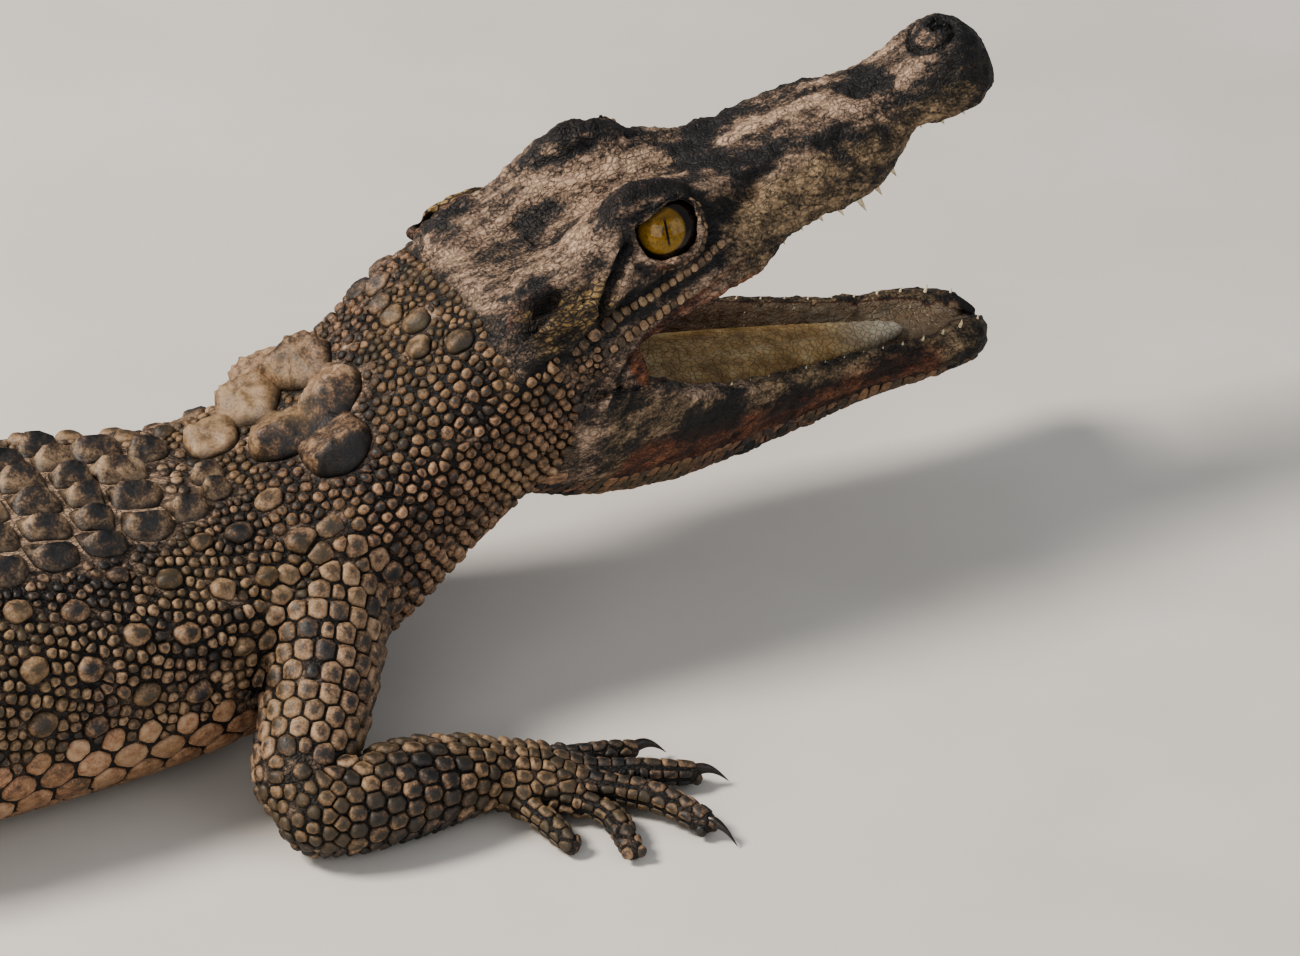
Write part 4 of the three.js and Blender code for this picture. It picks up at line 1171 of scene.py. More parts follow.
def cellReach(seeds, who, sides):
    # how far each scale reaches in each of its directions before it meets its neighbours
    near = seeds["near"][who]
    shift = seeds["place"][near] - seeds["place"][who][:, None]
    u = (shift * seeds["ahead"][who][:, None]).sum(2)
    v = (shift * seeds["across"][who][:, None]).sum(2)
    away = np.hypot(u, v) + 1e-9
    turn = np.arctan2(v, u)
    radius = seeds["radius"] * np.where(seeds["rank"] == coat["shieldRank"], scaleForm["spread"], 1)
    slim = seeds["slim"]
    own = radius[who][:, None] * np.hypot(np.cos(turn) * slim[who][:, None], np.sin(turn))
    other = radius[near] * np.hypot(np.cos(turn) * slim[near], np.sin(turn))
    border = np.clip(away / 2 + (own**2 - other**2) / (2 * away), 0.14 * away, 0.86 * away)
    facing = (seeds["normal"][near] * seeds["normal"][who][:, None]).sum(2)
    border = np.where(facing > 0.1, border, 1e3)
    phi = np.linspace(0, 2 * math.pi, sides, endpoint=False)
    bead = (seeds["kind"][who] == kinds["granule"])[:, None]
    power = np.where(bead, 6.0, 20.0)
    reach = np.zeros((len(who), sides))
    for k in range(near.shape[1]):
        reach += (np.maximum(np.cos(phi[None] - turn[:, k:k + 1]), 0) / border[:, k:k + 1]) ** power
    reach = np.maximum(reach, 1e-30) ** (-1 / power)
    oval = np.hypot(np.cos(phi) * slim[who][:, None], np.sin(phi))
    limit = radius[who][:, None] * np.where(bead, 1.35, 1.55) * oval
    reach = (np.maximum(reach, 0.2) ** -10.0 + limit**-10.0) ** (-1 / 10)
    return phi, np.maximum(reach - seeds["gap"][who][:, None] / 2, 0.3)


scaleForm = {
    # rings of each kind as (share of its reach, share of its height), after one sunk in the skin
    "granule": [(1, 0), (0.93, 0.42), (0.62, 0.88)],
    "plate": [(1, 0), (0.95, 0.45), (0.84, 0.86), (0.5, 1.0)],
    "scute": [(1, 0), (0.955, 0.4), (0.85, 0.8), (0.6, 0.95), (0.3, 1.0)],
    "shield": [(1, 0), (0.975, 0.4), (0.92, 0.75), (0.78, 0.95), (0.6, 1.0), (0.4, 1.0), (0.2, 1.0)],
    "sides": {"granule": 10, "plate": 14, "scute": 20, "shield": 40},
    "sunk": 0.45,
    "worn": 0.8,  # how uneven the larger scales are
    "crown": 0.34,  # how far towards its outer edge the keel of a shield of the nape stands
    "spread": 1.28,  # how far past their radius these shields reach, to meet in straight seams
    # a shield's darker outer side is partly painted shade, partly its own darker pigment
    "shaded": 0.26,  # how much darker their outer sides are
    "ridge": (1.5, 1.1),  # how sharply a keel falls away on them, and on other scales
    "unwrap": 1 / 900,  # of the bake map's width, for each millimetre of skin
    "patch": 0.0013,  # half a scale's width on that map
}


def scaleRings(seeds, who, kind, surface):
    # the points of every scale of one kind, ring by ring and last its crown, with their looks
    sides = scaleForm["sides"][kind]
    phi, reach = cellReach(seeds, who, sides)
    own = {key: values[who] for key, values in seeds.items()}
    rings, places, shades = [], [], []
    for share, high in scaleForm[kind] + [(0, 1)]:
        around = sides if share else 1
        u = reach[:, :around] * share * np.cos(phi[:around])
        v = reach[:, :around] * share * np.sin(phi[:around])
        flat = own["ahead"][:, None] * u[:, :, None] + own["across"][:, None] * v[:, :, None]
        rest = surface.on((own["place"][:, None] + flat).reshape(-1, 3)).reshape(flat.shape)
        fore = u / (own["radius"] * own["slim"])[:, None]
        shield = own["rank"][:, None] == coat["shieldRank"]
        outward = np.where(shield, np.sign(own["chart"][:, 1:] - coat["middle"]), 1)
        outer = outward * v / own["radius"][:, None]
        crown = np.where(shield, scaleForm["crown"], 0)
        roof = np.where(shield, np.where(outer > crown, 1 - crown, 1 + crown), own["roof"][:, None])
        ridge = np.maximum(1 - np.abs(outer - crown) / roof, 0) ** np.where(shield, *scaleForm["ridge"])
        ridge = ridge * (1 - 0.55 * np.clip(fore + 0.25, -1, 1) ** 2)
        # a shield's outer side darkened: partly painted shade, partly its own darker pigment
        shade = scaleForm["shaded"] * smoothStep(crown, crown + 0.1, outer) * shield
        shades.append(own["tone"][:, None] - shade)
        lift = (own["height"][:, None] * high - own["lean"][:, None] * fore * high
                + own["keel"][:, None] * ridge * float(smoothStep(1.0, 0.72, share)))
        if kind in ("scute", "shield"):
            clouds = [noise.noise(Vector(point) / 2.7) for point in rest.reshape(-1, 3)]
            worn = np.array(clouds).reshape(u.shape)
            lift = lift + scaleForm["worn"] * worn * own["radius"][:, None] / 6
        if high == 0:
            lift = np.full_like(u, -scaleForm["sunk"])
        rings.append(rest + own["normal"][:, None] * lift[:, :, None])
        raised = np.clip(lift / (own["height"] + own["keel"])[:, None], 0, 1)
        lots = np.repeat(own["lot"][:, None], around, 1)
        places.append(np.stack([np.full_like(u, share), raised, lots], 2))
    points = np.concatenate(rings, 1)
    points[:, :, 2] = np.maximum(points[:, :, 2], 0.02)
    looks = np.repeat(np.stack([own["tone"], own["warm"], own["spot"]], 1)[:, None], points.shape[1], 1)
    looks[:, :, 0] = np.concatenate(shades, 1)
    spread = np.concatenate([np.stack([np.cos(phi), np.sin(phi)], 1) * share for share, _ in scaleForm[kind]]
                            + [np.zeros((1, 2))])
    chart = own["chart"][:, None] * scaleForm["unwrap"] + spread[None] * scaleForm["patch"]
    return points, np.concatenate(places, 1), looks, chart


def scaleFaces(kind):
    sides, rings = scaleForm["sides"][kind], len(scaleForm[kind])
    faces = [tuple(range(sides - 1, -1, -1))]
    for ring in range(rings - 1):
        for k in range(sides):
            low, after = ring * sides, (k + 1) % sides
            faces.append((low + k, low + after, low + sides + after, low + sides + k))
    top = (rings - 1) * sides
    return faces + [(top + k, top + (k + 1) % sides, rings * sides) for k in range(sides)]


def coatPiece(name, seeds, who, surface):
    # the scales of one part of the body, joined in one mesh
    batches, faces, base = [], [], 0
    for kind, code in kinds.items():
        chosen = who[seeds["kind"][who] == code]
        if len(chosen) == 0:
            continue
        batch = scaleRings(seeds, chosen, kind, surface)
        count, size = batch[0].shape[:2]
        for start in range(base, base + count * size, size):
            faces += [tuple(start + corner for corner in face) for face in scaleFaces(kind)]
        base += count * size
        batches.append([values.reshape(-1, values.shape[-1]) for values in batch])
    points, places, looks, charts = (np.concatenate(values) for values in zip(*batches))
    mesh = bpy.data.meshes.new(name)
    mesh.from_pydata((points * mm).tolist(), [], faces)
    piece = bpy.data.objects.new(name, mesh)
    bpy.context.collection.objects.link(piece)
    noteOn(piece, scaleLook=looks, scalePlace=places)
    corners = np.zeros(len(mesh.loops), np.int32)
    mesh.loops.foreach_get("vertex_index", corners)
    mesh.uv_layers.new(name="OFBake").data.foreach_set("uv", charts[corners].ravel())
    mesh.polygons.foreach_set("use_smooth", np.ones(len(mesh.polygons), bool))
    mesh.update()
    return piece


def sowScales(surface):
    tables = [merged(sow()) for sow in coatParts.values()]
    for number, table in enumerate(tables):
        table["part"] = np.full(len(table["place"]), float(number))
    seeds, grid = thinned(settle(merged(tables), surface))
    seeds = fillGaps(seeds, grid, surface)
    normal = seeds["normal"]
    seeds["ahead"] = unit(seeds["ahead"] - normal * (seeds["ahead"] * normal).sum(1, keepdims=True))
    seeds["across"] = np.cross(normal, seeds["ahead"])
    seeds["lot"] = chance.random(len(seeds["place"]))
    tree = treeOf(seeds["place"])
    near = [[hit[1] for hit in tree.find_n(point, 25)][1:] for point in seeds["place"].tolist()]
    seeds["near"] = np.array(near)
    return seeds


# where the iris looks, and how far the clear front of the eye stands out
iris = {"axis": (-0.31, 0.72, 0.62), "up": (0.22, -0.49, 0.84), "bulge": 0.35}


def buildEye(side):
    centre = onSide(eye["at"], side)
    ball = addBall("leftEyeball" if side > 0 else "rightEyeball", eye["radius"] - 0.03, (0, 0, 0), 72, 48)
    axis = unit(onSide(iris["axis"], side))
    above = onSide(iris["up"], side)
    above = unit(above - axis * axis.dot(above))
    ahead = np.cross(axis, above) * side
    points = pointsOf(ball)
    outward = unit(points)
    facing, fore, high = outward @ axis, outward @ ahead, outward @ above
    away = np.where(facing > 0, np.hypot(fore, high), 1.5)
    points = points + outward * (iris["bulge"] * (1 - smoothStep(0.2, 0.75, away)))[:, None]
    noteOn(ball, irisPlace=np.stack([np.where(facing > 0, high, 1.5), fore, facing], 1))
    setPoints(ball, points + centre)
    carry(ball, headFrame)
    return smooth(ball)


claw = {"length": 9.5, "radius": 1.9, "tip": 0.12, "droop": 3.3, "rise": 1.5, "rooted": 2.2, "narrow": 0.74}


def buildClaw(name, path):
    # leaves the digit's end, arches over and comes down to its point, narrower across than deep
    before, tip = np.array(path[1], float), np.array(path[2], float)
    forward = unit((tip - before) * (1, 1, 0))
    across, up = np.array([-forward[1], forward[0], 0]), np.array([0, 0, 1])
    share = np.linspace(-claw["rooted"] / claw["length"], 1, 22)
    drop = claw["rise"] * np.sin(math.pi * np.maximum(share, 0)) - claw["droop"] * np.maximum(share, 0) ** 2
    radius = claw["radius"] + (claw["tip"] - claw["radius"]) * np.clip(share, 0, 1) ** 1.25
    radius = radius * (1 - 0.3 * smoothStep(0, -0.25, share))
    centre = tip + forward * (claw["length"] * share)[:, None] + up * drop[:, None]
    centre[:, 2] = np.maximum(centre[:, 2], radius + 0.05)
    angle = turns(20)
    wide = radius[:, None] * claw["narrow"] * np.sin(angle) * (1 - 0.25 * (np.cos(angle) < 0))
    high = radius[:, None] * np.cos(angle)
    nail = wrap(name, centre[:, None] + across * wide[:, :, None] + up * high[:, :, None])
    return smooth(nail)


teeth = {
    # rows of x along the jaw, then lean: ahead, outwards and up
    "upper": {"from": 60, "to": 140, "count": 15, "length": (2.3, 5.2), "radius": 1.15, "tallest": 98,
              "lean": (0.12, 0.35, -1)},
    "lower": {"from": 66, "to": 150, "count": 14, "length": (0.8, 2.1), "radius": 0.75, "tallest": 143,
              "lean": (0.12, 0.1, 1)},
    "stretch": 14,
    "sunk": 1.6,
    "everySecond": 0.62,
}


def toothRow(row, edge, matrix):
    # cones in a row on both sides; edge gives how far out and how high each stands
    cones = []
    for side in (1, -1):
        turn = np.array(Vector(onSide(row["lean"], side)).normalized().to_track_quat("Z", "Y").to_matrix())
        for i, x in enumerate(np.linspace(row["from"], row["to"], row["count"])):
            tall = float(bell(x, row["tallest"], teeth["stretch"])) * (teeth["everySecond"] if i % 2 else 1)
            low, high = row["length"]
            length = low + (high - low) * tall
            bpy.ops.mesh.primitive_cone_add(vertices=10, radius1=row["radius"] * mm, radius2=0,
                                            depth=(length + teeth["sunk"]) * mm)
            cone = bpy.context.object
            editMesh(cone, subdivide={"number_cuts": 2})
            points = pointsOf(cone)
            points[:, 2] += (length - teeth["sunk"]) / 2
            up = np.clip(points[:, 2] / length, 0, 1)
            thick = np.sqrt(np.clip(1 - up**1.7, 0, 1)) / np.maximum(1 - up, 1e-3)
            points[:, :2] *= np.clip(thick, 1, 1.5)[:, None]
            points[:, 1] -= side * 0.16 * length * up**2
            out, above = edge(x)
            setPoints(cone, points @ turn.T + np.array([x, side * out, above]))
            carry(cone, matrix)
            cones.append(cone)
    return cones


def buildTeeth():
    def upperEdge(x):
        lipY, lipZ = map(float, profilesAt(head, "lipY lipZ", x))
        return lipY - 1.0, lipZ + 0.5

    def lowerEdge(x):
        outer, inner, rim = map(float, profilesAt(jaw, "outerY innerY rimZ", x))
        return (outer + inner) / 2, rim + 0.2

    row = smooth(*toothRow(teeth["upper"], upperEdge, headFrame),
                 *toothRow(teeth["lower"], lowerEdge, jawFrame))
    row.name = "teeth"
    return row


tongue = {"from": 33, "to": 132, "widest": 16.5, "share": 0.78, "thick": 4.6, "foot": 1.5}


def buildTongue():
    x = np.linspace(tongue["from"], tongue["to"], 90)
    share = np.linspace(0, 1, 90)
    rounded = np.sqrt(1 - 0.98 * share**5) * np.sqrt(np.clip(1 - (1 - share) ** 14, 0.02, 1))
    inner, floor = profilesAt(jaw, "innerY floorZ", x)
    wide = np.minimum(tongue["widest"], inner * tongue["share"]) * rounded
    angle = np.linspace(0, math.pi, 44)
    arch = (tongue["thick"] * rounded)[:, None] * np.sin(angle) ** 0.6
    y = wide[:, None] * np.cos(angle)
    # a shallow furrow down the middle and soft folds across
    arch = arch - 0.5 * bell(y, 0, 1.3) * rounded[:, None] + 0.22 * np.sin(x * 1.9)[:, None] * bell(y, 0, 9)
    z = floor[:, None] + 0.3 + arch
    foot = floor - tongue["foot"]
    low = np.stack([np.stack([-wide * 0.9, foot], 1), np.stack([wide * 0.9, foot], 1)], 1)
    pad = wrap("tonguePad", sectionRings(x, np.concatenate([np.stack([y, z], 2), low], 1)))
    onwards = (pointsOf(pad)[:, 0] - tongue["from"]) / (tongue["to"] - tongue["from"])
    noteOn(pad, tongueShare=np.stack([onwards] * 3, 1))
    carry(pad, jawFrame)
    return smooth(pad)


crest = {
    "joined": 15.9,  # where along the midline the two rows run into one
    "height": (2.5, 8.5, 3.5),
    "apart": 0.62,
    "thick": 2.6,
    "filled": 0.9,
    # share of its height, then how far the outline of each level draws in lengthways and across
    "levels": [(-1.6, 1, 1), (0, 1, 1), (0.3, 1, 1), (0.6, 1, 1), (0.85, 1, 1), (0.97, 0.75, 0.7),
               (1.0, 0.35, 0.25)],
}


def crestRings(run, turned, height, long, thick):
    base, forward, left, upward = crestFrame(run, turned)
    angle = turns(16)
    rings = []
    for level, lengthways, across in crest["levels"]:
        above = max(level, 0)
        half = long * crest["filled"] / 2 * (1 - 0.55 * above**2) * lengthways
        thin = thick / 2 * (1 - 0.75 * above**0.8) * across
        fore = half * signedPower(np.cos(angle), 0.8) - 0.3 * long * above
        out = thin * signedPower(np.sin(angle), 0.9)
        lift = level if level < 0 else above * height * (1 - 0.28 * np.clip(fore / long, -0.5, 0.5))
        rings.append(base + forward * fore[:, None] + left * out[:, None]
                     + upward * np.broadcast_to(lift, fore.shape)[:, None])
    return np.stack(rings)


def buildCrests():
    # upright leaf-like scutes along the tail, in two rows that run into one
    count, first, last = coat["whorls"]
    long = float(runOf(last) - runOf(first)) / count
    low, top, end = crest["height"]
    parts = []
    for i in range(count):
        at = first + (i + 0.5) * (last - first) / count
        share = min(1, (at - first) / (crest["joined"] - first))
        onwards = max(0, (at - crest["joined"]) / (last - crest["joined"]))
        height = low + (top - low) * share if share < 1 else top + (end - top) * onwards
        wide = float(along(girthRows, at))
        for side in (1, -1) if share < 1 else (0,):
            across = side * wide * crest["apart"] * (1 - share**3)
            turned = math.asin(min(0.98, abs(across) / wide)) * (1 if side >= 0 else -1)
            rings = crestRings(float(runOf(at)), turned, height, long, min(crest["thick"], wide / 2))
            parts.append(wrap("crestScute", rings))
    row = smooth(*parts)
    row.name = "tailCrests"
    nearest = treeOf(fineLine)
    run = fineRun[[nearest.find(point)[1] for point in pointsOf(row).tolist()]]
    tone = whorlTone((run - float(runOf(first))) / long - 0.5)
    same = np.ones(len(tone))
    noteOn(row, scaleLook=np.stack([tone - 0.08, 0.35 * same, 0 * same], 1),
           scalePlace=np.stack([0.3 * same, same, 0.5 + 0.3 * np.sin(np.floor(run / long))], 1))
    return row


def crestFrame(run, turned):
    # where a crest stands, and its directions along the tail, to the left and up
    base = bodyPoints(run, turned)
    forward = unit(bodyPoints(run - 1, turned) - bodyPoints(run + 1, turned))
    centre = throughPoints(midline, atOf(run))[0][0]
    upward = np.array([0, 0, 1.0]) + 0.25 * unit(base - centre)
    upward = unit(upward - forward * upward.dot(forward))
    return base, forward, np.cross(upward, forward), upward


# what is carved and painted on the hide
strokes = {
    # in the head's frame on the left: path, half width, height, then how much black, pale, rosy it paints;
    # the black in the sunk slits, hollows, grooves and folds is painted shade, in the blotches the hide's own
    # dark
    "earSlit": ([(30.5, 20.6, 16.2), (24, 23.4, 10.9), (17.6, 26.6, 5.2)], 0.9, -2.8, (4, 0, 0)),
    "slitFront": ([(29.4, 23.6, 12.6), (24.6, 25.8, 8.2), (19.5, 28, 4.4)], 0.8, 0.9, (0, 0.8, 0)),
    "slitBack": ([(27.5, 20.6, 15.6), (21, 23.3, 11.2), (14.5, 26.9, 6.2)], 1.1, 0.9, (0, 0.8, 0)),
    "earHollow": ([(9, 22.3, 12.3), (4, 24, 11.2), (-0.5, 26.3, 9)], 1.6, -2.6, (3, 0, 0)),
    "earRim": ([(9, 20.3, 14.4), (2, 20.6, 13.8), (-4, 22.5, 12), (-5, 26.5, 8.5)], 1.3, 1.5, (0.4, 0, 0.8)),
    "earWrinkleLow": ([(14, 28.5, 4.6), (6, 29.8, 4), (-1, 29.4, 5.4), (-3.2, 27.4, 8)], 0.5, -0.7,
                      (1.4, 0, 0)),
    "earWrinkleMid": ([(13, 27.8, 6.2), (6, 28.8, 5.8), (0.8, 28, 7.4)], 0.5, -0.6, (1.2, 0, 0)),
    "underEar": ([(19, 27.8, 3.4), (10, 30.1, 2), (1, 31.2, 2.2), (-5, 29.5, 5.4)], 1.1, -1.7, (2.2, 0, 0)),
    "tableEdge": ([(30, 18.3, 18.6), (22, 20.2, 16.4), (10, 20.2, 14.8), (0, 18.8, 14.2)], 1.7, 0.9,
                  (0, 0.9, 0)),
    "tableBack": ([(-4, 0, 13.2), (-4.6, 9, 12.9), (-3.5, 16, 12.3)], 1.8, 0.9, (0, 0.8, 0)),
    "nape": ([(-8, 0, 10), (-8, 12, 9.5), (-7, 20, 7)], 2.2, -1.4, (0.9, 0, 0)),
    "tableHollow": ([(6, 0, 13.3), (22, 0, 14)], 7.5, -1.0, (0.2, 0, 0)),
    "tableStreak": ([(26, 9.5, 15.9), (10, 9, 14.6), (-2, 8, 13.6)], 2.2, 0.4, (0, 0.7, 0)),
    "tablePale": ([(24, 15, 16.2), (10, 15.5, 14.9), (0, 14, 13.9)], 3.0, 0.2, (0, 0.3, 0)),
    "tableBlotch": ([(8, 18.4, 14.9), (0, 18.6, 13.9)], 2.6, -0.3, (1.5, 0, 0)),
    "tableBlotchMid": ([(24, 4.4, 14.5), (17, 5, 14.2)], 3.0, -0.2, (1.0, 0, 0)),
    "brow": ([(29, 16.5, 22.5), (36, 15.3, 26.3), (44, 14.6, 24.5), (51, 14.8, 18.5)], 3.0, 0.2,
             (1.3, 0, 0.6)),
    "browGroove": ([(27, 13.5, 19.5), (35, 11.2, 21), (45, 10.8, 19.5), (53, 11.5, 15)], 1.0, -1.1,
                   (1.6, 0, 0)),
    "browStreak": ([(54, 4.5, 13.8), (40, 6, 16.5), (28, 8.5, 16)], 2.2, 0.3, (0, 1.4, 0)),
    "lidFold": ([(31, 20.5, 19.4), (37, 20.6, 22), (44, 20, 22), (51, 18.6, 18.4)], 0.7, -1.0, (1.5, 0, 0)),
    "lidBack": ([(30.5, 22, 17), (30.5, 24.4, 12.5), (33, 26, 8.5)], 0.8, -0.8, (1.0, 0, 0)),
    "eyeFront": ([(53, 17, 17.5), (55.5, 18.8, 12), (53.5, 22, 6.5)], 2.0, -1.2, (2.4, 0, 0)),
    "underEye": ([(51, 22.8, 5.6), (43, 26, 6.3), (35, 26.3, 4.9), (26, 27, 4.9), (18, 28.2, 3.3)], 1.2, -1.9,
                 (2.6, 0, 0)),
    "lowerLid": ([(35, 26.2, 8.2), (41, 27.2, 7.2), (48, 25.4, 7.6)], 2.2, 0.5, (0.3, 0, 0.9)),
    "barBelow": ([(57, 22.5, 0.8), (45, 26.3, 0.6), (33, 27.8, 1.4), (22, 29.2, 1.1), (12, 30.3, 0.2)], 0.8,
                 -1.1, (1.8, 0, 0)),
    "cheekFold": ([(60, 23, -4), (48, 26.5, -3.8), (36, 28.6, -4.2), (24, 30.4, -5.4)], 0.8, -0.8,
                  (0.5, 0, 0.8)),
    "rictus": ([(60, 22.6, -9.4), (48, 24.8, -7.6), (36, 26.6, -6.6), (28, 27.6, -7), (25, 28.4, -12),
                (26, 28.6, -19)], 2.4, 0.2, (0, 0.2, 2.2)),
    "cheekPleatHigh": ([(22, 29.5, -7), (12, 31.5, -14)], 0.8, -1.0, (1.5, 0, 0.3)),
    "cheekPleatMid": ([(24, 29, -11), (14, 31.5, -19)], 0.8, -1.0, (1.5, 0, 0.3)),
    "cheekPleatLow": ([(25, 28.5, -16), (16, 31, -25)], 0.8, -1.0, (1.5, 0, 0.3)),
    "preorbitalRidge": ([(54, 15.5, 14.6), (61, 12.6, 12.7), (70, 11, 11.2)], 1.5, 1.1, (0, 0.5, 0)),
    "preorbitalHollow": ([(60, 18, 9), (68, 15.5, 7.5)], 2.6, -1.3, (1.0, 0, 0)),
    "preorbitalPatch": ([(63, 20.4, 2), (56, 22.6, -1)], 3.4, 0, (0, 0.6, 0.3)),
    "canthus": ([(68, 11.2, 10.6), (84, 10.6, 10.1), (98, 9.5, 9)], 1.6, 0.8, (0, 0.3, 0)),
    "snoutBlotch": ([(78, 9.5, 10.5), (68, 9, 11.5)], 4.2, 0.1, (1.9, 0, 0)),
    "snoutBlotchFront": ([(96, 11, 8), (88, 12, 8.2)], 3.4, 0.1, (1.4, 0, 0)),
    "snoutBlotchMid": ([(112, 2.5, 9), (104, 2, 9.5)], 3.4, 0, (1.6, 0, 0)),
    "browFrontBlotch": ([(64, 4, 12), (59, 3, 12.6)], 3.6, 0, (1.5, 0, 0)),
    "snoutPale": ([(102, 6, 9.3), (97, 6, 9.8)], 2.2, 0.8, (0, 2.2, 0.4)),
    "snoutPaleBack": ([(86, 14.5, 6.3), (79, 14.5, 6.6)], 3.4, 0, (0, 1.9, 0)),
    "cheekPale": ([(73, 16, 5), (66, 18.5, 5)], 3.0, 0, (0, 1.8, 0)),
    "midStreak": ([(96, 0, 10.4), (84, 0.5, 11.8), (70, 0, 12.3)], 1.4, 0.3, (0, 1.6, 0)),
    "nosePale": ([(122, 5, 8.5), (116, 5.5, 8)], 1.7, 0, (0, 1.4, 0)),
    "noseTip": ([(138, 0, 8), (135, 9, 2)], 8, 0, (1.1, 0, 0)),
    "narialDisc": ([(129, 0, 14)], 4.4, 1.5, (0.5, 0, 0)),
    "narialRing": ([(134.9, 0, 13.1), (133.4, 4, 12.3), (129, 5.9, 12), (124.6, 4, 11.6), (123.1, 0, 11.6)],
                   0.75, -1.5, (1.8, 0, 0)),
    "nostril": ([(129.6, 1.1, 15), (131.6, 1.3, 15), (132.8, 2.7, 14.4)], 0.8, -2.6, (5, 0, 0)),
}
# as above for the lower jaw; the black in its groove and folds is painted shade, in its blotches the hide's
# own dark
jawStrokes = {
    "jawBlotch": ([(128, 13.5, -4), (118, 14.8, -4)], 5.0, 0, (1.4, 0, 0)),
    "jawBlotchBack": ([(92, 19, -6), (84, 21, -6)], 4.5, 0, (1.6, 0, 0)),
    "jawBlotchFar": ([(66, 25.5, -5), (54, 28, -5)], 5, 0, (1.6, 0, 0)),
    "chinDark": ([(150, 0, -6), (148, 8, -4)], 7.0, 0, (1.4, 0, 0)),
    "jawUnder": ([(120, 12, -14), (90, 15, -20), (60, 19, -25), (30, 22, -24)], 7, 0, (0, 0, 2.2)),
    "jawSide": ([(130, 14, -9), (100, 17, -12), (70, 23, -13), (40, 28, -12)], 7, 0, (0, 0.3, 2.2)),
    "jawLip": ([(140, 12.6, -1), (100, 17, -1), (70, 23, 0.5), (50, 27, 4), (38, 29, 7)], 1.5, 0.5,
               (0, 0.5, 0.2)),
    "jawGroove": ([(128, 14.4, -5), (100, 18, -5), (70, 24.4, -4.5), (44, 29, -1)], 0.8, -0.9, (1.2, 0, 0)),
    "jawFoldHigh": ([(120, 14.4, -11), (90, 18.4, -13), (60, 23.6, -15), (36, 27.4, -15)], 0.9, -0.8,
                    (1, 0, 0)),
    "jawFoldLow": ([(110, 13, -16), (80, 17, -20), (50, 22, -22)], 0.9, -0.8, (1, 0, 0)),
}
rough = {"grain": 0.42, "lump": 0.7}


def pathOnSkin(path, side, matrix, surface):
    # a smooth path brought down to the skin, on one side of the head
    line = np.asarray(path, float)
    if len(path) > 1:
        line = throughPoints(path, np.linspace(0, len(path) - 1, 12 * len(path)))[0]
    return surface.on(worldPoints(line * (1, side, 1), matrix))


def carve(item):
    # raises and sinks the hide along the strokes, roughens it, and notes what each stroke paints
    surface = Surface(item)
    points, normals = surface.points, surface.normals
    ink = np.zeros((len(points), 3))
    lift = np.zeros(len(points))
    for table, matrix in ((strokes, headFrame), (jawStrokes, jawFrame)):
        for path, width, height, paint in table.values():
            for side in (1, -1) if np.max(path, axis=0)[1] > 0 else (1,):
                line = pathOnSkin(path, side, matrix, surface)
                boxed = (points > line.min(0) - 3 * width) & (points < line.max(0) + 3 * width)
                close = np.nonzero(boxed.all(1))[0]
                if len(close) == 0:
                    continue
                away = np.min(np.linalg.norm(points[close][:, None] - line[None], axis=2), axis=1)
                near = bell(away, 0, width)
                lift[close] += height * near
                ink[close] += np.array(paint) * near[:, None]
    here = localPoints(points, headFrame)
    onHead = np.nonzero((here[:, 0] > -12) & (points[:, 0] > 120))[0]
    for i in onHead.tolist():
        point = Vector(points[i])
        lift[i] += rough["lump"] * noise.noise(point / 3.1) + rough["grain"] * noise.noise(point / 1.3)
    setPoints(item, points + normals * lift[:, None])
    return ink


def mouthShare(points):
    # nought on the outside of the head; in the mouth it rises from the throat to the front, so the lining is
    # darker deep in the mouth, painted shade
    x, y, z = folded(points, headFrame)
    jx, jy, jz = folded(points, jawFrame)
    rim, inner = profilesAt(jaw, "rimZ innerY", jx)
    lip, lipY = profilesAt(head, "lipZ lipY", x)
    within = (jx > 12) & (jx < 150) & (jz > rim - 18) & (jz < rim + 3) & (jy < inner + 1.2)
    roof = (x > 12) & (x < 140) & (z < lip + 6) & (z > lip - 3) & (y < lipY - 1.6)
    between = (jz > rim - 0.8) & (x > 12) & (x < 34) & (z < lip + 1.2) & (y < 25.5)
    return (within | roof | between) * (0.3 + 0.7 * smoothStep(20, 125, jx))


def paintSkin(item, seeds, ink):
    # the markings of the nearest scale, where the hide is bare, and the strokes' paint
    points = pointsOf(item)
    x, y, z = folded(points, headFrame)
    jx, _, jz = folded(points, jawFrame)
    near, away = nearestSeed(seeds, points)
    hinge = seeds["rank"][near] == coat["scuteRank"]
    bare = np.maximum(smoothStep(1.0, 1.9, away / seeds["radius"][near]), 0.75 * hinge)
    brow = along(head["browZ"], x)
    side = smoothStep(brow, brow - 5, z) * smoothStep(48, 62, x)
    onJaw = (jx > 25) & (jz < along(jaw["rimZ"], jx) - 1.5)
    flap = smoothStep(-5, 2, x) * smoothStep(26, 20, x) * smoothStep(14, 11, z)
    flap = flap * smoothStep(1.5, 4, z) * (y > 17)
    noteOn(item, skinLook=np.stack([seeds["tone"][near], seeds["warm"][near], bare], 1),
           skinInk=ink + np.outer(hinge, (0, 1.5, 0)),
           skinSort=np.stack([np.maximum(side, 0.8 * onJaw), flap, mouthShare(points)], 1))


# colours of the hide and the scales
hideColours = {
    # groove: the near black laid as painted shade in the crevices at the foot of the scales
    "groove": "#110e0c",
    "black": "#18191b",
    "slate": "#2d2b2a",
    "brown": "#483a2f",
    "tan": "#847059",
    "pale": "#b29a80",
    "rosy": "#9a6a4b",
    "belly": "#b59377",
    "olive": "#6a5838",
}
times = {"operation": "MULTIPLY"}
soft = {"interpolation_type": "SMOOTHSTEP"}


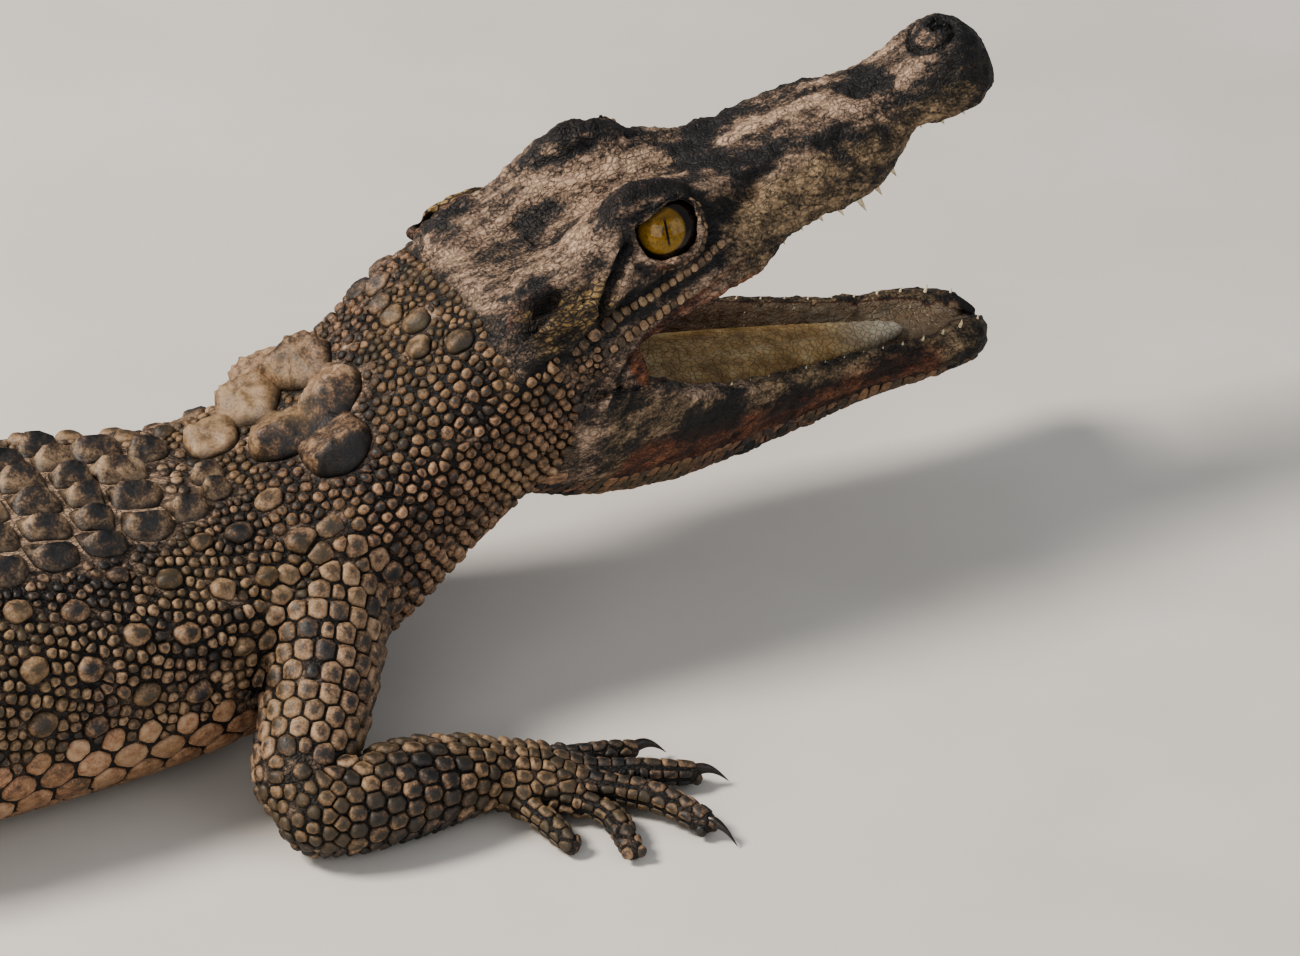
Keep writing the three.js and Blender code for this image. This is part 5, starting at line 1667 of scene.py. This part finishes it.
def colour(text):
    # a hex sRGB colour, or one of the hide's colours, as Blender's linear numbers
    text = hideColours.get(text, text)
    values = [int(text[k:k + 2], 16) / 255 for k in (1, 3, 5)]
    return (*[v / 12.92 if v <= 0.04045 else ((v + 0.055) / 1.055) ** 2.4 for v in values], 1)


def per(size):
    # a pattern's scale, from the size of its features in millimetres
    return 1 / (size * mm)


def addNode(tree, kind, sockets, give=0, stops=(), **settings):
    # a node with its settings and links, handing back one output; each socket takes a number, a colour or
    # another node's output, and stops are the places and colours of a ramp
    item = tree.nodes.new("ShaderNode" + kind)
    for key, value in settings.items():
        setattr(item, key, value)
    for key, value in sockets.items() if isinstance(sockets, dict) else enumerate(sockets):
        if isinstance(value, bpy.types.NodeSocket):
            tree.links.new(value, item.inputs[key])
        else:
            item.inputs[key].default_value = colour(value) if isinstance(value, str) else value
    for number, (at, text) in enumerate(stops):
        band = item.color_ramp.elements
        element = band[number] if number < len(band) else band.new(at)
        element.position, element.color = at, colour(text)
    return item.outputs[give] if item.outputs else item


def newMaterial(name):
    # a material, what adds its nodes, and the place on the piece
    material = bpy.data.materials.new(name)
    material.use_nodes = True
    material.node_tree.nodes.clear()
    add = functools.partial(addNode, material.node_tree)
    return material, add, add("TexCoord", (), give="Object")


def weighed(add, start, *terms):
    # a number plus each pattern times its weight
    for term, weight in terms:
        start = add("Math", (term, weight, start), operation="MULTIPLY_ADD")
    return start


def painted(add, base, *layers):
    # lays colours over the base, each with its share
    for share, layer in layers:
        base = add("Mix", {0: share, 6: base, 7: layer}, give=2, data_type="RGBA")
    return base


def finish(add, bump=(), **sockets):
    # the shader and the output; bump is its strength, its depth in millimetres and its pattern
    sockets = {key.replace("_", " "): value for key, value in sockets.items()}
    if bump:
        strength, depth, pattern = bump
        sockets["Normal"] = add("Bump", {"Strength": strength, "Distance": depth * mm, "Height": pattern})
    add("OutputMaterial", (add("BsdfPrincipled", sockets),))


def readNotes(add, name):
    # the three numbers that a piece carries at its points
    vector = add("Attribute", (), give="Vector", attribute_name=name, attribute_type="GEOMETRY")
    return add("SeparateXYZ", (vector,), give=slice(3))


def scaleHorn():
    # keratin of the scales: dry and satin, with dark centres, and painted shade on each scale's low rim, so
    # the tops look paler
    material, add, place = newMaterial("scaleKeratin")
    tone, warm, spot = readNotes(add, "scaleLook")
    share, raised, lot = readNotes(add, "scalePlace")
    mottle, fine, broad = (add("TexNoise", {"Vector": place, "Scale": per(size), "Detail": detail})
                           for size, detail in ((2.4, 5.0), (0.6, 4.0), (26.0, 2.0)))
    centre = add("Math", (add("MapRange", (share, 0.7, 0.15), **soft), spot), **times)
    value = weighed(add, -0.915, (tone, 1.0), (lot, 0.2), (mottle, 0.85), (fine, 0.4), (broad, 0.3),
                    (centre, -0.24))
    base, rosy = (add("ValToRGB", (value,), stops=stops) for stops in (
        [(0.12, "black"), (0.32, "slate"), (0.44, "brown"), (0.62, "tan"), (0.9, "pale")],
        [(0.12, "black"), (0.36, "brown"), (0.62, "rosy"), (0.88, "belly")]))
    mossy = add("Math", (add("MapRange", (broad, 0.42, 0.62, 0.0, 0.34), **soft),
                         add("MapRange", (warm, 0.14, 0.3), **soft)), **times)
    # the last layer is painted shade: each scale goes towards the groove colour where it sinks into the hide
    base = painted(add, base, (add("Math", (warm, 0.6), **times), rosy), (mossy, "olive"),
                   (add("MapRange", (raised, 0.4, 0.05, 0.0, 0.75), **soft), "groove"))
    rough = add("MapRange", (mottle, 0.3, 0.7, 0.46, 0.68))
    finish(add, bump=(0.5, 0.3, fine), Base_Color=base, Roughness=rough, IOR=1.5)
    return material


def hide():
    # bare hide: matt between the scales, fused and crackled on the head, moist in the mouth
    material, add, place = newMaterial("bareHide")
    bare = readNotes(add, "skinLook")[2]
    dark, pale, rosy = readNotes(add, "skinInk")
    speckle, golden, mouth = readNotes(add, "skinSort")
    turned = add("Mapping", {0: place, 2: (0, head["pitch"], -head["heading"]), 3: (0.55, 1, 1)})
    marble = add("TexNoise", {"Vector": turned, "Scale": per(8), "Detail": 7.0, "Roughness": 0.66,
                              "Distortion": 0.8})
    medium = add("TexNoise", {"Vector": turned, "Scale": per(2.4), "Detail": 5.0, "Roughness": 0.6})
    fine = add("TexNoise", {"Vector": place, "Scale": per(0.7), "Detail": 4.0})
    vein = add("TexNoise", {"Vector": turned, "Scale": per(4.5), "Detail": 4.0})
    vein = add("Math", (add("Math", (vein, 0.5), operation="SUBTRACT"),), operation="ABSOLUTE")
    crack = add("MapRange", (vein, 0.022, 0.002), **soft)
    scaly = add("TexVoronoi", {"Vector": turned, "Scale": per(1.3)}, feature="DISTANCE_TO_EDGE")
    dots = add("TexVoronoi", {"Vector": place, "Scale": per(1.7)}, give="Distance")
    value = weighed(add, -0.85, (marble, 1.3), (medium, 0.8), (fine, 0.6), (pale, 0.21), (dark, -0.21))
    plain, olive, blush, gilt = (add("ValToRGB", (value,), stops=stops) for stops in (
        [(0.2, "#1c1a1b"), (0.36, "#2e2a29"), (0.46, "#5a4a3d"), (0.57, "#877160"), (0.8, "#ba9f87")],
        [(0.3, "#1d1913"), (0.5, "#5f4f33"), (0.7, "#8a7450")],
        [(0.3, "#2c1911"), (0.5, "#5f3622"), (0.72, "#8f5d40")],
        [(0.3, "#33281a"), (0.55, "#7b6230"), (0.75, "#9c8450")]))
    gold = painted(add, "#1c150c", (add("MapRange", (scaly, 0.05, 0.2), **soft), gilt))
    dots = add("Math", (add("MapRange", (dots, 0.34, 0.2, 0.0, 0.75), **soft),
                        add("MapRange", (medium, 0.4, 0.55), **soft)), **times)
    plain = painted(add, plain, (add("Math", (speckle, 0.6), **times), olive),
                    (add("MapRange", (rosy, 0.3, 1.2), **soft), blush),
                    (add("MapRange", (scaly, 0.16, 0.02, 0.0, 0.4), **soft), "#241d19"),
                    (add("Math", (golden, 0.75), **times), gold),
                    (add("Math", (dots, speckle), **times), "black"),
                    (add("Math", (crack, 0.5), **times), "black"))
    # the lining is darker where the share is low: painted shade deep in the mouth, towards the throat
    lining = add("ValToRGB", (weighed(add, 0.0, (mouth, 0.6), (medium, 0.5)),), stops=[
        (0.36, "#2c1a12"), (0.55, "#4b3427"), (0.75, "#64503c"), (0.98, "#776c5c")])
    # close round each scale the hide keeps the groove colour, painted shade in the crevices; where the
    # strokes lay the most black it goes near black, painted shade in the ear slits, nostrils and deep hollows
    base = painted(add, "groove", (bare, plain), (add("MapRange", (dark, 2.0, 3.2), **soft), "#060505"),
                   (add("MapRange", (mouth, 0.02, 0.25), **soft), lining))
    rough = add("MapRange", (mouth, 0.0, 0.5, 0.6, 0.36))
    height = weighed(add, fine, (medium, 1.0), (crack, -0.6),
                     (add("MapRange", (scaly, 0.0, 0.2), **soft), 0.5))
    finish(add, bump=(0.85, 0.5, height), Base_Color=base, Roughness=rough, IOR=1.45)
    return material


def eyeball():
    # wet cornea over an olive-gold iris with a slit pupil, dark beyond the iris, and the painted shadow of
    # the upper lid over the top of the iris
    material, add, place = newMaterial("wetEye")
    up, across, _ = readNotes(add, "irisPlace")
    away = add("Math", (weighed(add, 0.0, (up, up), (across, across)),), operation="SQRT")
    streak = add("TexNoise", {"Vector": place, "Scale": per(0.9), "Detail": 6.0, "Roughness": 0.7})
    base = add("ValToRGB", (weighed(add, 0.0, (streak, 0.7), (away, 0.3)),), stops=[
        (0.3, "#42300f"), (0.42, "#6d5217"), (0.55, "#83651f"), (0.68, "#4d3710")])
    slit = 1.0
    for way, middle, low, high in ((across, 0.12, 0.045, 0.015), (up, -0.08, 0.4, 0.26)):
        off = add("Math", (add("Math", (way, middle), operation="SUBTRACT"),), operation="ABSOLUTE")
        slit = add("Math", (add("MapRange", (off, low, high), **soft), slit), **times)
    # first layer: painted shadow of the upper lid, darkening the top of the iris
    base = painted(add, base, (add("MapRange", (up, 0.08, 0.3, 0.0, 0.6), **soft), "#2c2012"),
                   (slit, "#050403"), (add("MapRange", (away, 0.55, 0.63), **soft), "#17100c"))
    finish(add, Base_Color=base, Roughness=0.12, IOR=1.34, Coat_Weight=0.3, Coat_Roughness=0.03)
    return material


def clawHorn():
    # horn of the claws: nearly black, satin, streaked and worn brown at the tip
    material, add, place = newMaterial("clawHorn")
    streak = add("TexNoise", {"Vector": place, "Scale": per(1.1), "Detail": 4.0})
    base = add("ValToRGB", (streak,), stops=[(0.3, "#0f0d0c"), (0.55, "#231c17"), (0.75, "#4b3a2b")])
    finish(add, bump=(0.3, 0.1, streak), Base_Color=base, Roughness=0.36, IOR=1.54)
    return material


def toothIvory():
    # enamel of young teeth: translucent white, ivory at the root
    material, add, place = newMaterial("toothEnamel")
    cloud = add("TexNoise", {"Vector": place, "Scale": per(1.5), "Detail": 2.0})
    base = add("ValToRGB", (cloud,), stops=[(0.3, "#a39372"), (0.7, "#d9ccb0")])
    finish(add, Base_Color=base, Roughness=0.22, IOR=1.6, Subsurface_Weight=0.25, Subsurface_Scale=1.0 * mm)
    return material


def tongueFlesh():
    # the tongue's pad: moist, cream yellow, crossed by fine wrinkles, and darkened at its root with painted
    # shade
    material, add, place = newMaterial("tonguePad")
    cell = add("TexVoronoi", {"Vector": place, "Scale": per(1.7)}, feature="DISTANCE_TO_EDGE")
    cloud = add("TexNoise", {"Vector": place, "Scale": per(6), "Detail": 4.0})
    seam = add("MapRange", (cell, 0.12, 0.0), **soft)
    onwards = readNotes(add, "tongueShare")[0]
    base = add("ValToRGB", (cloud,), stops=[(0.3, "#80653f"), (0.55, "#ad9062"), (0.75, "#c6b48c")])
    base = painted(add, base, (add("MapRange", (onwards, 0.72, 0.95, 0.0, 0.75), **soft), "#a3a196"),
                   (add("MapRange", (onwards, 0.12, 0.0), **soft), "#4a3420"),
                   (add("Math", (seam, 0.45), **times), "#5a4526"))
    finish(add, bump=(0.6, 0.35, add("Math", (1.0, seam), operation="SUBTRACT")), Base_Color=base,
           Roughness=0.34, IOR=1.4, Subsurface_Weight=0.15, Subsurface_Scale=2.0 * mm)
    return material


def floorPaint():
    # plain pale studio floor: matt painted board with the faintest mottling
    material, add, place = newMaterial("studioBoard")
    cloud = add("TexNoise", {"Vector": place, "Scale": per(60), "Detail": 3.0})
    finish(add, Base_Color=add("ValToRGB", (cloud,), stops=[(0.3, "#cfcac3"), (0.7, "#d6d2cc")]),
           Roughness=0.85)
    return material


def dress(item, material):
    item.data.materials.clear()
    item.data.materials.append(material)


def addPiece(piece, slot, material, *nodes):
    dress(piece, material)
    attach(piece, "root")
    if nodes:
        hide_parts(*nodes)


# the model put together
setCamera()
setLights()
floor = layFloor()
dress(floor, floorPaint())
print("stage set")
skin = buildSkin()
ink = carve(skin)
smooth(skin)
print("skin formed:", len(skin.data.polygons), "faces")
surface = Surface(skin)
seeds = sowScales(surface)
paintSkin(skin, seeds, ink)
dress(skin, hide())
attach(skin, "root")
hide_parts(*[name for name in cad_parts
                    if "claw" not in name and "eye" not in name and name != "tongue"])
print("scales sown:", len(seeds["place"]))
keratin = scaleHorn()
for number, name in enumerate(coatParts):
    scales = coatPiece(name, seeds, np.nonzero(seeds["part"] == number)[0], surface)
    dress(scales, keratin)
    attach(scales, "root")
    print(name, len(scales.data.polygons), "faces")

wetEye, horn = eyeball(), clawHorn()
for side, word in ((1, "left"), (-1, "right")):
    addPiece(buildEye(side), "eye_gloss", wetEye, f"eye_{word}")
    for leg, foot in (("fore", "hand"), ("hind", "foot")):
        clawed = [path for path, _, hasClaw in legs[leg]["digits"] if hasClaw]
        for i, path in enumerate(clawed):
            name = f"{foot}_claw_{i + 1}_{word}"
            addPiece(buildClaw("nail_" + name, mirrored(path, side)), "claw_horn", horn, name)
addPiece(buildTeeth(), "tooth_ivory", toothIvory())
addPiece(buildTongue(), "tongue_flesh", tongueFlesh(), "tongue")
addPiece(buildCrests(), "skin_flank", keratin)
print("eyes, claws, teeth, tongue and crests made")
